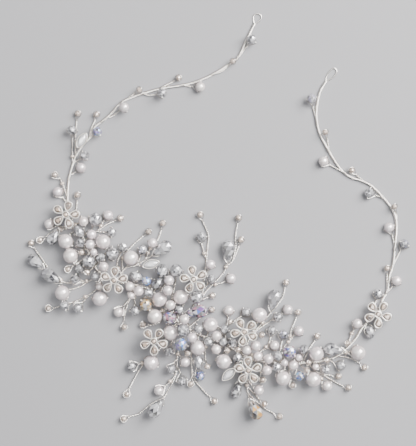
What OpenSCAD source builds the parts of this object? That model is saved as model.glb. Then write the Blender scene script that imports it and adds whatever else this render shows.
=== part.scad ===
// Hair vine: a thin twisted wire bent to a wide C, set with pearls, cut crystals and rhinestone flowers.
// It lies on a flat surface, wire side down, with its origin under the middle of its box.

/* [Vine] */
// Width of the vine as it lies
vine_w = 154; // [150:0.5:158]

/* [Wire] */
// Thickness of the stem, where the strands of all its stalks run together
stem_d = 1.1; // [0.9:0.05:1.3]
// Thickness of a stalk, two strands twisted together
stalk_d = 0.8; // [0.6:0.05:0.9]
// Thickness of the single strand that goes round and through a bead
strand_d = 0.4; // [0.3:0.05:0.5]

/* [Pearls] */
// Diameter of a large pearl
large_pearl_d = 6; // [5.5:0.1:6.4]
// Diameter of a small pearl
small_pearl_d = 4; // [3.6:0.1:4.3]
// Diameter of a mini pearl
mini_pearl_d = 2.9; // [2.6:0.1:3.2]

/* [Crystals] */
// Diameter of a large cut crystal
large_crystal_d = 5.5; // [5:0.1:5.8]
// Diameter of a small cut crystal
small_crystal_d = 4; // [3.6:0.1:4.2]
// Diameter of a cut crystal at the tip of a stalk
tip_crystal_d = 3.1; // [2.8:0.1:3.3]
// Length of a drop crystal
drop_l = 7.8; // [7:0.1:8.4]
// Width of a drop crystal at its wide end
drop_w = 5.4; // [5:0.1:5.8]
// Length of an oval crystal
oval_l = 5.4; // [5:0.1:5.8]
// Width of an oval crystal
oval_w = 4; // [3.6:0.1:4.4]
// Diameter of the hole across each bead
bead_hole_d = 0.75; // [0.7:0.05:0.9]

/* [Flowers] */
// Diameter of a flower across its petals
flower_d = 11.4; // [10.8:0.1:12]
// Width of a petal
petal_w = 3.5; // [3.2:0.1:3.7]
// Diameter of the raised cup in the middle of a flower
flower_centre_d = 3; // [2.8:0.1:3.3]
// Length of the pointed setting
navette_l = 7.2; // [6.8:0.1:7.8]
// Width of the pointed setting
navette_w = 4; // [3.6:0.1:4.4]
// Wall of a stone's cup
cup_wall = 0.4; // [0.3:0.05:0.5]
// Depth of a stone's cup
cup_depth = 1; // [0.8:0.05:1.2]
// Thickness of the plate under the cups
plate_t = 0.6; // [0.5:0.05:0.8]
// Diameter of the post under a flower, which the strand goes through
post_d = 1.8; // [1.6:0.05:2]

/* [Fit] */
// Gap between pieces that don't touch
gap = 0.15; // [0.12:0.01:0.25]

/* [Hidden] */
$fn = 32;
// Places are in hundredths of vine_w, x to the right and y away, counted from the middle of the width
unit_l = vine_w / 100;
middle_of_outline = [-0.01, -0.4];
SIDES = ["left", "middle", "right"];
PEARL = [0.95, 0.93, 0.89];
CRYSTAL = [0.86, 0.9, 0.94];
SILVER = [0.84, 0.82, 0.79];

// Height at which the stem and the stalks lie, and the top of the stem
wire_z = stem_d / 2;
over_wire = stem_d + gap;
// Height of the hole through the post of a flower or a setting
post_hole_z = over_wire + post_d / 2;
wire_sides = 5;

// Stem from the left end loop to the middle
LEFT_STEM = [
    [9.3, 50.4], [7, 45.8], [4.8, 41.3], [2.4, 39.6], [-1.5, 37.2], [-5.5, 35.4], [-9.5, 34.3],
    [-15, 33.5], [-20, 32.1], [-23, 31.1], [-25.8, 29.6], [-28.2, 27], [-30.5, 24.9],
    [-32.7, 23.3], [-33.8, 20.8], [-37.2, 16.4], [-39.3, 9.8], [-39.7, 3], [-39.4, -0.5],
    [-38.2, -2.8], [-36, -5], [-33.3, -11.5], [-31.6, -14.4], [-28.6, -16], [-25, -17.2],
    [-21.5, -18], [-18, -19.2], [-15.4, -21.6], [-12.9, -24.7], [-10.8, -27.5], [-7.5, -29.9],
    [-0.5, -32.8], [3, -34.3], [5.6, -35.9], [8, -37]
];

// Stem from the middle to the right end loop
RIGHT_STEM = [
    [8.4, -37.2], [11, -38], [18, -38.4], [21.5, -38.5], [25, -38.2], [28.5, -37.6], [31, -36.6],
    [33.5, -34.5], [35.6, -32.2], [37.2, -29.6], [39.5, -27], [41.6, -25], [42.8, -21.8],
    [44, -19.6], [44.5, -16], [45.4, -13], [45.9, -9], [46.4, -2.5], [46, 0.2], [44.8, 2.6],
    [40.2, 7.7], [37.5, 9.2], [34.5, 10.2], [32.3, 11.8], [30.3, 14.4], [27.4, 19.4], [26.2, 22],
    [25.5, 25.2], [25.5, 28], [25.9, 30.6], [26.6, 33], [28, 35.3]
];

// Loops at the two ends, open towards the stem
LEFT_LOOP = [
    [9.3, 50.2], [9, 51.5], [9.2, 52.6], [10, 53], [10.9, 52.7], [11.1, 51.9], [10.5, 51.1], [9.3, 50.2]
];
RIGHT_LOOP = [
    [28, 35.2], [28.2, 36.6], [29, 37.9], [30.1, 38.7], [30.8, 38.2], [30.6, 37.2], [29.7, 36.2], [28, 35.2]
];

// Windings on the stem where branches leave it: place and direction
LEFT_WINDINGS = [
    [4.8, 41.3, 60], [-1.5, 37.2, 30], [-9.5, 34.3, 10], [-20, 32.1, 18], [-30.5, 24.9, 42],
    [-39.3, 9.8, 78], [-22, -17.9, -15], [2.8, -34.2, -25]
];
RIGHT_WINDINGS = [
    [14.5, -38.1, -2], [25, -38.2, 6], [31, -36.6, 30], [43.9, -19.8, 65], [45.9, -8.6, 86],
    [42.6, 5, -48], [33, 11.2, -42], [28.6, 17.2, -62]
];

// Each bead, with its stalk's route from the stem, which ends short of the bead and aims at it.
// P large pearl, p small pearl, q mini pearl, C large crystal, c small crystal, s tip crystal,
// D drop and O oval crystal, F flower, N pointed setting. A drop is placed by its hole.
// kind, x, y, over the wires (1) or on the surface (0), route, turn of a flower's or setting's form
// or share of a drop's size
LEFT_PIECES = [
    ["c", 8.5, 46, 1, [[4.8, 41.3], [7.2, 44.3]]],
    ["s", 3.6, 40.3, 1, [[-1.6, 37.1], [0.6, 37.9], [2.2, 39.1]]],
    ["p", -4.9, 33.7, 0, [[-9.5, 34.3], [-7.2, 33.9]]],
    ["s", -10.6, 36.1, 0, [[-16, 33.3], [-12.1, 35.2]]],
    ["c", -14.8, 32, 1, [[-20, 32.1], [-18.2, 31.6], [-16.9, 31.8]]],
    ["s", -20.8, 32.9, 1, [[-24.2, 30.6], [-22.4, 32]]],
    ["p", -24.7, 28.3, 1, [[-29.6, 25.7], [-27.9, 26.2], [-26.4, 27.3]]],
    ["s", -32, 26.5, 0, [[-34.1, 20.4], [-33.4, 23], [-32.5, 25]]],
    ["s", -36.9, 26.7, 0, [[-37.6, 15.3], [-37.6, 21], [-37.3, 25]]],
    ["c", -31.7, 22, 1, [[-34.6, 19.7], [-33.4, 20.7]]],
    ["c", -38.3, 22.4, 1, [[-38.3, 13], [-38.4, 18], [-38.4, 20.3]]],
    ["c", -35, 15.8, 1, [[-38, 13.9], [-36.9, 14.7]]],
    ["p", -36, 12.6, 0, [[-39, 10.7], [-37.7, 11.5]]],
    ["s", -42.9, 10.7, 0, [[-39.7, 4.6], [-41.3, 9.4]]],
    ["p", -42.1, 6.3, 0, [[-39.7, 3.2], [-40.8, 4.7]]],
    ["s", -37, 5.5, 0, [[-38.9, -1.5], [-37.5, 1], [-37.2, 3.6]]],
    ["p", -44, -2, 0, [[-38.7, -1.9], [-40.3, -2.8], [-42, -2.6]]],
    ["s", -46.8, -6.3, 0, [[-38, -3], [-42, -3.7], [-44, -4.3], [-45.3, -5.4]]],
    ["D", -42.4, -4.4, 1, [[-38, -3], [-41.3, -2.8]], 0.8],
    ["P", -39.8, -6.8, 1, [[-37.2, -3.8], [-38.5, -4.4]]],
    ["P", -38.4, -10.1, 1, [[-34.6, -8.5], [-35.9, -9]]],
    ["s", -35.9, -9.7, 1, [[-34, -10], [-34.3, -10.2]]],
    ["s", -39.5, -13.9, 0, [[-33.7, -10.6], [-36.5, -11.9], [-38.2, -13]]],
    ["c", -36.3, -13.8, 0, [[-33.3, -11.5], [-34.7, -12.4]]],
    ["s", -34.4, -14.4, 0, [[-32.3, -13.3], [-32.8, -13.6]]],
    ["p", -35.3, -1.3, 0, [[-38.3, -2.7], [-37.2, -2.1]]],
    ["O", -36.6, -3.8, 1, [[-35.3, -6.7], [-35.4, -5.7]]],
    ["c", -36, -7, 1, [[-34.2, -9.4], [-34.9, -8.7]]],
    ["p", -33.2, -5, 1, [[-35.4, -6.5], [-34.8, -6.1]]],
    ["p", -33.2, -7.9, 1, [[-33.9, -10.1], [-33.7, -9.9]]],
    ["P", -30.1, -6.7, 1, [[-34.3, -9.2], [-32.5, -8]]],
    ["C", -32.4, -0.9, 1, [[-36, -5], [-34, -4], [-33.4, -3.5]]],
    ["p", -28.9, 0.2, 0, [[-36, -5], [-32, -4], [-30.4, -1.7]]],
    ["s", -25.8, -0.6, 0, [[-32, -4], [-29.5, -2.2], [-27.5, -1.3]]],
    ["c", -27.9, -4.3, 1, [[-32, -4], [-30, -4.2]]],
    ["C", -28, -9.9, 1, [[-33.9, -10.2], [-30.7, -10]]],
    ["q", -32.2, -9.6, 1, [[-33.9, -10], [-33.8, -10.1]]],
    ["C", -33.8, -11.7, 1, [[-31.8, -14.1], [-32.2, -13.8]]],
    ["c", -31, -10.8, 1, [[-32.4, -13], [-32, -12.7]]],
    ["p", -30, -13.3, 1, [[-31.6, -14.4], [-31.5, -14.4]]],
    ["c", -32.2, -15.8, 1, [[-29.8, -15.4], [-30.2, -15.6]]],
    ["p", -23.9, -18.6, 1, [[-21.7, -17.9], [-22.1, -18.1]]],
    ["D", -42.2, -16.6, 1, [[-30.4, -15.1], [-34, -17], [-38, -17.5], [-40.9, -17.4]]],
    ["c", -37.6, -16.5, 1, [[-34, -17], [-35.6, -17]]],
    ["D", -46.6, -12.9, 0, [[-40.5, -17.4], [-45.2, -14.1]], 0.88],
    ["s", -49.1, -7.1, 0, [[-43.9, -15], [-45.8, -12], [-48.2, -8.6]]],
    ["P", -40.7, -20.4, 1, [[-34, -17], [-36, -18.2], [-38.4, -19.1]]],
    ["s", -44.6, -24.1, 0, [[-30.4, -15.1], [-31.5, -18.5], [-34, -20.6], [-38.5, -22.7], [-43, -24.1]]],
    ["c", -40.3, -22.9, 1, [[-37.8, -22.4], [-38.3, -22.6]]],
    ["c", -36.8, -23.9, 1, [[-34, -20.6], [-35.4, -22.3]]],
    ["q", -31.2, -18.5, 1, [[-30.6, -15.8], [-30.7, -17]]],
    ["P", -31, -21.5, 1, [[-31.5, -18.5], [-31.3, -19]]],
    ["D", -16.3, -9.4, 1, [[-26.4, -16.7], [-24.6, -13.7], [-22, -13], [-17.5, -10.4]]],
    ["P", -22.9, -10.9, 1, [[-24.9, -14.2], [-24.2, -13.3]]],
    ["c", -25, -8.1, 1, [[-25.8, -15.3], [-26.6, -12.5], [-25.9, -10]]],
    ["s", -18.4, -4.1, 0, [[-25.2, -14.5], [-25.2, -11], [-23.3, -8.3], [-19.8, -5.1]]],
    ["c", -19.9, -8.8, 1, [[-21.3, -12.5], [-20.7, -10.8]]],
    ["p", -17.1, -7.1, 1, [[-19.2, -11.3], [-18.3, -8.9]]],
    ["s", -14.7, -1.9, 0, [[-19.4, -11.5], [-18.3, -8.9], [-16.3, -6.6], [-15.1, -3.6]]],
    ["F", -39.8, 0.3, 1, [[-39.7, 4.2], [-40, 2.2]], 2],
    ["F", -27.2, -16.7, 1, [[-24.5, -17.3], [-25.5, -17.7]], 12],
    ["N", -35.7, 19.6, 1, [[-38.1, 13.8], [-36.8, 17.5]], 59],
    ["N", -17.7, -12.5, 1, [[-21.9, -12.7], [-20.2, -13.1]], 16]
];
MIDDLE_PIECES = [
    ["q", -22.7, -19.9, 1, [[-21.1, -18.1], [-21.4, -18.6]]],
    ["p", -20.4, -19.8, 1, [[-22.6, -17.7], [-22, -18.2]]],
    ["O", -21.9, -16, 1, [[-19.2, -18.7], [-19.4, -16.5]]],
    ["c", -18.9, -16.9, 1, [[-17.4, -19.5], [-17.8, -18.7]]],
    ["O", -16.4, -17.4, 1, [[-18.1, -19.1], [-17.9, -19]]],
    ["C", -14.4, -14.3, 1, [[-17, -19.9], [-15.8, -16.6]]],
    ["p", -13.2, -16.4, 1, [[-15.9, -21], [-14.4, -18.1]]],
    ["p", -13.5, -18.7, 1, [[-15.5, -21.4], [-14.9, -20.4]]],
    ["C", -10.7, -14.9, 1, [[-13, -24.5], [-12, -20], [-11.4, -17.3]]],
    ["p", -26.2, -25.1, 0, [[-22, -17.9], [-22.9, -20.8], [-24.9, -23.4]]],
    ["s", -24.8, -29, 0, [[-22.7, -20.3], [-23.9, -23], [-24.8, -26], [-24.9, -27.3]]],
    ["c", -21.7, -24.6, 0, [[-22.5, -19.6], [-22, -22.6]]],
    ["c", -18.2, -20.8, 1, [[-20.1, -18.5], [-19.5, -19]]],
    ["C", -18.9, -23, 1, [[-16, -21], [-16.8, -21.2]]],
    ["P", -15.3, -21.3, 1, [[-12.9, -24.7], [-13.7, -23.5]]],
    ["p", -12.8, -22.9, 1, [[-11.4, -26.7], [-11.9, -24.9]]],
    ["P", -17, -25.8, 1, [[-13.3, -24.2], [-14.6, -24.6]]],
    ["s", -19.8, -28.4, 0, [[-13.8, -23.6], [-15.5, -27.5], [-18, -28.6]]],
    ["P", -9.6, -20.9, 1, [[-11, -27.3], [-9.6, -23.6]]],
    ["C", -12.8, -26.6, 1, [[-9.8, -28.3], [-10.3, -27.9]]],
    ["c", -10.9, -24, 1, [[-12, -26], [-11.8, -25.8]]],
    ["C", -6.1, -20.8, 1, [[-9.5, -28.6], [-7.4, -25], [-6.6, -23.2]]],
    ["D", -8.3, -25, 1, [[-11.5, -26.6], [-9.9, -25.5]]],
    ["p", -8.9, -27, 1, [[-7.2, -30], [-7.7, -28.7]]],
    ["C", -10.2, -29.4, 1, [[-12.2, -25.6], [-11.7, -27.2]]],
    ["P", -13.3, -30, 1, [[-10, -28.2], [-11.3, -28.3]]],
    ["s", -4.9, 0.3, 0, [[-9, -28.8], [-4.9, -22], [-3.6, -14], [-3, -8], [-2.8, -5], [-4.3, -1.3]]],
    ["c", -4.6, -5.4, 0, [[-3.5, -11], [-4.6, -7.5]]],
    ["p", -2.2, -12.6, 1, [[-3.7, -15.6], [-3, -14.5]]],
    ["c", -2.2, -16.3, 1, [[-4.4, -19.3], [-3.1, -18.1]]],
    ["s", -1.7, -20.8, 0, [[-4.9, -22], [-3.3, -21.3]]],
    ["D", 2.3, -10.7, 0, [[-4.9, -22], [-3.5, -19.8], [1.1, -14.9], [2.2, -12.3]]],
    ["p", 3.15, -16.3, 0, [[-1.8, -18], [0.3, -17.6], [1.3, -17.2]]],
    ["s", 5.75, -6.2, 0, [[2, -13], [3.5, -11.8], [5.2, -7.8]]],
    ["s", 5.1, -0.5, 0, [[3.5, -11.8], [4.3, -8.2], [4.3, -5], [4.8, -2.1]]],
    ["s", -1.9, -24.5, 0, [[-8.2, -29.4], [-5.5, -27.1], [-3.2, -25.6]]],
    ["P", -17.6, -38.1, 1, [[-10.4, -27.9], [-13, -31.2], [-16.3, -35.9]]],
    ["c", -22.8, -39.3, 0, [[-16, -35.5], [-19.3, -38.2], [-20.9, -38.6]]],
    ["s", -24.1, -46.6, 0, [[-19.3, -38.2], [-21.2, -40.8], [-23.6, -45.2]]],
    ["C", -9.8, -32.6, 1, [[-8.7, -29.1], [-9.1, -30]]],
    ["p", -7, -31.6, 1, [[-5, -31], [-5.2, -31]]],
    ["P", -5.5, -34, 1, [[-2.5, -32.1], [-3.4, -32.4]]],
    ["c", -5.4, -29.4, 1, [[-7.5, -29.9], [-7.2, -30]]],
    ["c", -13.1, -35.3, 1, [[-12, -30.2], [-12.4, -33.3]]],
    ["D", -15.3, -48.7, 1, [[-8, -29.6], [-10.5, -34.5], [-11.4, -41.6], [-14.2, -47.3]]],
    ["c", -12.4, -39.9, 1, [[-10.9, -37], [-11.5, -38]]],
    ["p", -15.7, -45.6, 0, [[-11.4, -41.6], [-12.8, -43.3], [-14, -44.4]]],
    ["s", -24.9, -53, 0, [[-14.2, -47.3], [-17.7, -49.1], [-21, -51.7], [-23.3, -52.4]]],
    ["p", -8.8, -38.1, 1, [[-10.7, -35.6], [-10.2, -36.5]]],
    ["s", -8.2, -35.7, 1, [[-10.2, -33.9], [-9.6, -34.6]]],
    ["c", -9.7, -43.1, 0, [[-11.1, -38.5], [-10.2, -41]]],
    ["s", -7.4, -43.9, 0, [[-7.1, -30.1], [-7.3, -36.5], [-7.1, -42.1]]],
    ["c", -4.9, -41.7, 0, [[-7.3, -37], [-6, -39.8]]],
    ["s", -1.2, -48.4, 0, [[-7.1, -39.7], [-6.5, -42.6], [-3.7, -46.1], [-2.3, -47.3]]],
    ["O", -5.3, -37.2, 1, [[-5.6, -30.7], [-5.4, -34.7]]],
    ["s", -3.1, -39, 0, [[-3.2, -31.7], [-3.6, -35.1], [-3.5, -37.4]]],
    ["P", -1.9, -28.9, 1, [[-3.4, -31.6], [-3.1, -31.2]]],
    ["c", -2.6, -32.5, 1, [[-4.7, -31.1], [-4.5, -31.3]]],
    ["p", -0.1, -31.4, 1, [[1.3, -33.6], [1.1, -33.2]]],
    ["p", -0.6, -34.5, 1, [[1.5, -33.7], [1.3, -33.8]]],
    ["c", 1.4, -29.6, 1, [[0.2, -33.2], [0.8, -31.5]]],
    ["c", 1.5, -32.3, 1, [[3.3, -34.4], [2.9, -33.9]]],
    ["c", 3.8, -32.3, 1, [[2.1, -33.9], [2.4, -33.7]]],
    ["s", 2.1, -35, 1, [[3.8, -34.8], [3.6, -34.9]]],
    ["s", 4.6, -34.4, 1, [[6.1, -36.1], [5.7, -35.7]]],
    ["c", 5, -36.7, 1, [[7.1, -36.6], [6.8, -36.7]]],
    ["p", 7.2, -34.9, 1, [[5.2, -35.7], [5.4, -35.8]]],
    ["P", 1.2, -37.7, 1, [[1.9, -33.9], [1.5, -35.1]]],
    ["p", 2.6, -24.6, 0, [[1.4, -33.6], [1.9, -29], [2.4, -26.6]]],
    ["s", 2.8, -27.6, 1, [[1.6, -31], [2.1, -29.2]]],
    ["c", 7.2, -25, 0, [[1.9, -29], [4.5, -27.1], [5.6, -26.3]]],
    ["P", 10.3, -26, 1, [[6.2, -36.2], [8.4, -31], [9.7, -28.6]]],
    ["D", 13.8, -23.5, 1, [[8.4, -31], [12.2, -27], [13.4, -25.2]]],
    ["s", 17.5, -17.4, 0, [[13, -25.9], [15.3, -23.2], [16.7, -21], [17.2, -19]]],
    ["p", 18, -24.4, 0, [[8.2, -31.4], [10.4, -29.5], [16.3, -25.6]]],
    ["c", 15.4, -26.3, 1, [[12.2, -28.4], [13.5, -27.4]]],
    ["s", 11.1, -31, 1, [[9, -30.7], [9.4, -30.8]]],
    ["c", 13.7, -29.8, 0, [[7.6, -36.8], [11.5, -35], [12.9, -33.4], [13.5, -31.8]]],
    ["p", 9.3, -33.6, 1, [[7.1, -36.6], [8.1, -35.2]]],
    ["p", 14.5, -33.8, 0, [[11.5, -35], [12.7, -34.7]]],
    ["D", 5.4, -43.4, 0, [[5.4, -35.8], [6, -38.5], [5.7, -41.6]], 0.8],
    ["F", -6.6, -16.4, 1, [[-11, -27.2], [-9, -22.5], [-7.4, -18.2]], 28],
    ["F", -16.9, -32.4, 1, [[-10.2, -28.1], [-13, -31.2], [-15.2, -31.8]], -16],
    ["F", 6.5, -30, 1, [[4.8, -35.4], [5.8, -31.8]], -28],
    ["N", 2.5, -41.2, 1, [[5.2, -35.7], [4.9, -37.6], [3.7, -39.7]], 42]
];
RIGHT_PIECES = [
    ["s", 11.2, -42.7, 0, [[9.2, -37.5], [10.4, -39.6], [10.9, -41.1]]],
    ["p", 12.5, -40, 1, [[11.6, -38], [11.7, -38.2]]],
    ["p", 10.4, -45.4, 1, [[9, -37.4], [7.9, -40], [7.4, -42.3], [8.6, -44.2]]],
    ["D", 8.5, -48.8, 1, [[7.4, -42.3], [7.3, -45], [7.8, -47.4]]],
    ["s", 11.8, -49, 1, [[7.3, -44.5], [10.6, -48]]],
    ["s", 15.8, -52.4, 0, [[7.6, -46.3], [9.65, -48.4], [11.9, -50.3], [14.3, -51.6]]],
    ["p", 10.5, -37, 1, [[12.6, -38.1], [12.2, -37.8]]],
    ["p", 13, -36.9, 1, [[14.8, -38.1], [14.6, -37.9]]],
    ["c", 15, -36.4, 1, [[16.8, -38.3], [16.4, -37.9]]],
    ["q", 16.8, -38.3, 1, [[15.1, -38.2], [15.3, -38.2]]],
    ["c", 15.2, -39.6, 1, [[17.3, -38.3], [17.1, -38.5]]],
    ["P", 16.4, -41.8, 1, [[17.9, -38.4], [17.5, -39.3]]],
    ["C", 18, -35.4, 1, [[16, -38.2], [16.4, -37.5]]],
    ["c", 16.8, -30.9, 0, [[15, -38.1], [16, -34.9], [16.4, -32.9]]],
    ["p", 20.9, -30, 0, [[16, -34.9], [18.5, -32.6], [19.5, -31.3]]],
    ["s", 20.6, -25.2, 0, [[18.5, -32.6], [18.9, -29.8], [20.2, -26.7]]],
    ["c", 22.1, -34.7, 1, [[21.5, -38.5], [21.9, -36.7]]],
    ["q", 20.8, -36.9, 1, [[19.6, -38.5], [19.8, -38.3]]],
    ["s", 25.6, -31.4, 0, [[22, -38.5], [23.7, -34.6], [24.9, -32.9]]],
    ["P", 25.5, -35.9, 1, [[27.9, -37.7], [27.6, -37.4]]],
    ["D", 31.1, -35.1, 1, [[33.4, -34.6], [33.1, -35.3]], 0.95],
    ["s", 33.4, -33.2, 1, [[35, -32.9], [34.7, -33.1]]],
    ["P", 36.3, -35.6, 0, [[32.6, -35.3], [33.7, -36]]],
    ["p", 36, -28, 1, [[33.7, -34.3], [34.3, -31.8], [35.1, -30]]],
    ["s", 38, -39.6, 0, [[31, -36.6], [34.2, -37.2], [36.9, -38.5]]],
    ["c", 31.9, -39.1, 0, [[28.5, -37.6], [30.1, -38.4]]],
    ["s", 28.1, -37.7, 1, [[29.9, -37.1], [29.7, -37.2]]],
    ["c", 27.8, -39.9, 1, [[25.6, -38.1], [26.2, -38.6]]],
    ["q", 25.2, -39.3, 1, [[26.9, -37.9], [26.5, -38.3]]],
    ["s", 23.3, -38.3, 1, [[25, -38.2], [24.9, -38.3]]],
    ["s", 22.6, -40.1, 1, [[21, -38.5], [21.3, -38.9]]],
    ["p", 19.4, -38.9, 1, [[17.3, -38.4], [17.5, -38.6]]],
    ["c", 21.4, -41.4, 1, [[19.6, -38.5], [20.2, -39.9]]],
    ["P", 24.4, -42.4, 1, [[22.7, -38.4], [23.3, -39.9]]],
    ["s", 19.2, -44.2, 0, [[18.2, -38.4], [18.4, -41], [18.9, -42.6]]],
    ["s", 31.2, -41.9, 0, [[23.4, -38.4], [25.6, -40.8], [29.6, -41.8]]],
    ["p", 28.3, -44.4, 0, [[25.6, -40.8], [26.9, -42.9]]],
    ["s", 33.8, -44.9, 0, [[26.3, -41], [31.2, -43.9], [32.4, -44.4]]],
    ["O", 39.4, -30.3, 0, [[38.6, -28], [38.8, -28.1]]],
    ["c", 41.6, -20.2, 0, [[41.8, -24.4], [40.8, -23.4], [41.1, -22.2]]],
    ["s", 43.9, -13.7, 0, [[44, -19.6], [43.9, -15.5]]],
    ["p", 46.4, -16.9, 0, [[43.6, -20.3], [45.3, -18.6]]],
    ["c", 48.4, -7.3, 0, [[45.4, -13], [47.4, -9.2]]],
    ["p", 44.4, -3, 0, [[46, -8], [45.3, -5]]],
    ["s", 45.7, 2.4, 1, [[46.5, -2.5], [46.4, 0.6]]],
    ["c", 39.2, 6, 0, [[42.8, 4.8], [41.2, 5.3]]],
    ["s", 34.7, 11.9, 0, [[38.5, 8.7], [36, 10.7]]],
    ["p", 27.3, 14.3, 0, [[33, 11.2], [29.1, 13.4]]],
    ["s", 27.7, 21.8, 1, [[28.8, 16.8], [28.4, 20]]],
    ["c", 24.1, 30.6, 1, [[25.5, 24.8], [24.6, 28.4]]],
    ["F", 7.5, -40.1, 1, [[8.8, -37.3], [8.2, -38.4]], 20],
    ["F", 41.3, -25.6, 1, [[42.5, -22.7], [41.9, -24]], -16]
];

// Every piece, in the order in which they are laid on each other: settings last, on top
KIND_ORDER = "PDOCcpqsNF";
ALL_PIECES = concat(LEFT_PIECES, MIDDLE_PIECES, RIGHT_PIECES);
SIDE_OF = concat(
    [for (p = LEFT_PIECES) "left"], [for (p = MIDDLE_PIECES) "middle"], [for (p = RIGHT_PIECES) "right"]
);
LAY_ORDER = [
    for (k = [0 : len(KIND_ORDER) - 1])
        for (i = [0 : len(ALL_PIECES) - 1])
            if (ALL_PIECES[i][0] == KIND_ORDER[k]) i
];

NODES = concat(
    ["wire_left", "wire_right"],
    [for (i = [1 : count("P")]) str("large_pearl_", i)],
    [for (i = [1 : count("D")]) str("drop_crystal_", i)],
    [for (i = [1 : count("F")]) str("flower_", i)],
    [for (i = [1 : count("N")]) str("navette_setting_", i)],
    [for (i = [1 : count("N")]) str("navette_stone_", i)],
    ["flower_stones_left", "flower_stones_right"],
    [for (side = SIDES) str("small_pearls_", side)],
    [for (side = SIDES) str("large_crystals_", side)],
    [for (side = SIDES) str("small_crystals_", side)],
    [for (side = SIDES) str("tip_crystals_", side)],
    ["oval_crystals"]
);
node = "all";

function at(p) = [p[0] * unit_l, p[1] * unit_l];
function count(kind) = len([for (p = ALL_PIECES) if (p[0] == kind) p]);
function unit(v) = v / norm(v);
function last(list) = list[len(list) - 1];

// Half the thickness of a piece
function drop_share(piece) = is_undef(piece[5]) ? 1 : piece[5];
function half_h(piece) =
    let (kind = piece[0])
    kind == "P" ? large_pearl_d / 2 :
    kind == "p" ? small_pearl_d / 2 :
    kind == "q" ? mini_pearl_d / 2 :
    kind == "C" ? large_crystal_d / 2 :
    kind == "c" ? small_crystal_d / 2 :
    kind == "s" ? tip_crystal_d / 2 :
    kind == "D" ? drop_w / 2 * drop_share(piece) :
    kind == "O" ? oval_w / 2 :
    (plate_t + cup_depth) / 2;

// Radius that a strand goes round: a drop is held at its narrow end, a setting at its post
drop_neck = 0.265 * drop_w;
function held_r(piece) =
    piece[0] == "D" ? drop_neck * drop_share(piece) :
    is_setting(piece[0]) ? post_d / 2 :
    piece[0] == "O" ? oval_l / 2 :
    half_h(piece);

// Direction in plan from the end of a piece's route to the piece
function aim(piece) = unit(at([piece[1], piece[2]]) - at(last(piece[4])));

// The round forms, in plan, that a piece is made of for laying it beside and on the others:
// x and y from the piece's own place, and radius
drop_ball = 0.54 * drop_l;
petal_out = (flower_d - petal_w) / 2;
petal_ball = petal_w * 0.56;
function star(turn, out, r) = [for (k = [0 : 4]) let (a = turn + 72 * k) [out * cos(a), out * sin(a), r]];
function drop_balls(share, e) = [
    [0, 0, drop_neck * share],
    [each e * drop_ball * 0.55 * share, drop_w * 0.4 * share],
    [each e * drop_ball * share, drop_w / 2 * share]
];
function balls(piece) =
    let (kind = piece[0], e = aim(piece), turn = piece[5])
    kind == "D" ? drop_balls(drop_share(piece), e) :
    kind == "O" ? [
        [each -e * (oval_l - oval_w) / 2, oval_w / 2],
        [each e * (oval_l - oval_w) / 2, oval_w / 2]
    ] :
    kind == "F" ? concat(
        star(turn, petal_out, petal_ball),
        star(turn, petal_out * 0.6, petal_w * 0.4),
        [[0, 0, flower_centre_d / 2]]
    ) :
    kind == "N" ? [
        for (k = [-1 : 1])
            [each k * navette_l * 0.28 * [cos(turn), sin(turn)], navette_w * (k == 0 ? 0.5 : 0.36)]
    ] :
    [[0, 0, half_h(piece)]];
BALLS = [for (p = ALL_PIECES) balls(p)];

// Places of the pieces: as in the tables, then with the crowded ones moved apart a little. Settings stay
PLACES_READ = [for (p = ALL_PIECES) at([p[1], p[2]])];
most_moved = 0.85 * unit_l;
spread_steps = 12;
function is_setting(kind) = kind == "F" || kind == "N";
function near(i, j) =
    let (d = PLACES_READ[i] - PLACES_READ[j])
    i != j && max(abs(d[0]), abs(d[1])) < 2 * drop_l;
NEAR = [
    for (i = [0 : len(ALL_PIECES) - 1])
        [for (j = [0 : len(ALL_PIECES) - 1]) if (near(i, j)) j]
];
function sum(list) = len(list) == 0 ? [0, 0] : [for (v = list) 1] * list;
function push(i, places) = sum([
    for (j = NEAR[i])
        for (a = BALLS[i])
            for (b = BALLS[j])
                let (
                    d = places[i] - places[j] + [a[0] - b[0], a[1] - b[1]],
                    over = a[2] + b[2] + gap - norm(d)
                )
                if (over > 0) over * (is_setting(ALL_PIECES[j][0]) ? 0.5 : 0.35) * unit(d)
]);
function held_near(v) = norm(v) > most_moved ? v * most_moved / norm(v) : v;
function spread(places, n) = n == 0 ? places : spread(
    [
        for (i = [0 : len(places) - 1])
            is_setting(ALL_PIECES[i][0]) ? places[i] :
            PLACES_READ[i] + held_near(places[i] + push(i, places) - PLACES_READ[i])
    ],
    n - 1
);
PLACES = spread(PLACES_READ, spread_steps);

// Height of a piece's middle: on the surface or the wires, or higher where it has to lie on earlier ones
function lowest(piece) =
    is_setting(piece[0]) ?
        post_hole_z + bead_hole_d + half_h(piece) :
        (piece[3] == 1 ? over_wire : 0) + half_h(piece);
function clear_height(i, j, other_z) = max([
    0,
    for (a = BALLS[i])
        for (b = BALLS[j])
            let (
                reach = a[2] + b[2] + gap,
                d = norm(PLACES[i] - PLACES[j] + [a[0] - b[0], a[1] - b[1]])
            )
            if (d < reach) other_z + sqrt(reach * reach - d * d)
]);
function laid(n, done) =
    n == len(LAY_ORDER) ? done :
    let (
        i = LAY_ORDER[n],
        z = max([
            lowest(ALL_PIECES[i]),
            for (m = [0 : 1 : n - 1])
                if (near(i, LAY_ORDER[m])) clear_height(i, LAY_ORDER[m], done[m])
        ])
    )
    laid(n + 1, concat(done, z));
LAID = laid(0, []);
HEIGHTS = [for (i = [0 : len(ALL_PIECES) - 1]) LAID[search(i, LAY_ORDER)[0]]];

// The point in space that a strand goes through: a bead's middle, a drop's hole or a post's hole
function held_at(i) =
    [each PLACES[i], is_setting(ALL_PIECES[i][0]) ? post_hole_z : HEIGHTS[i]];

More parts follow.
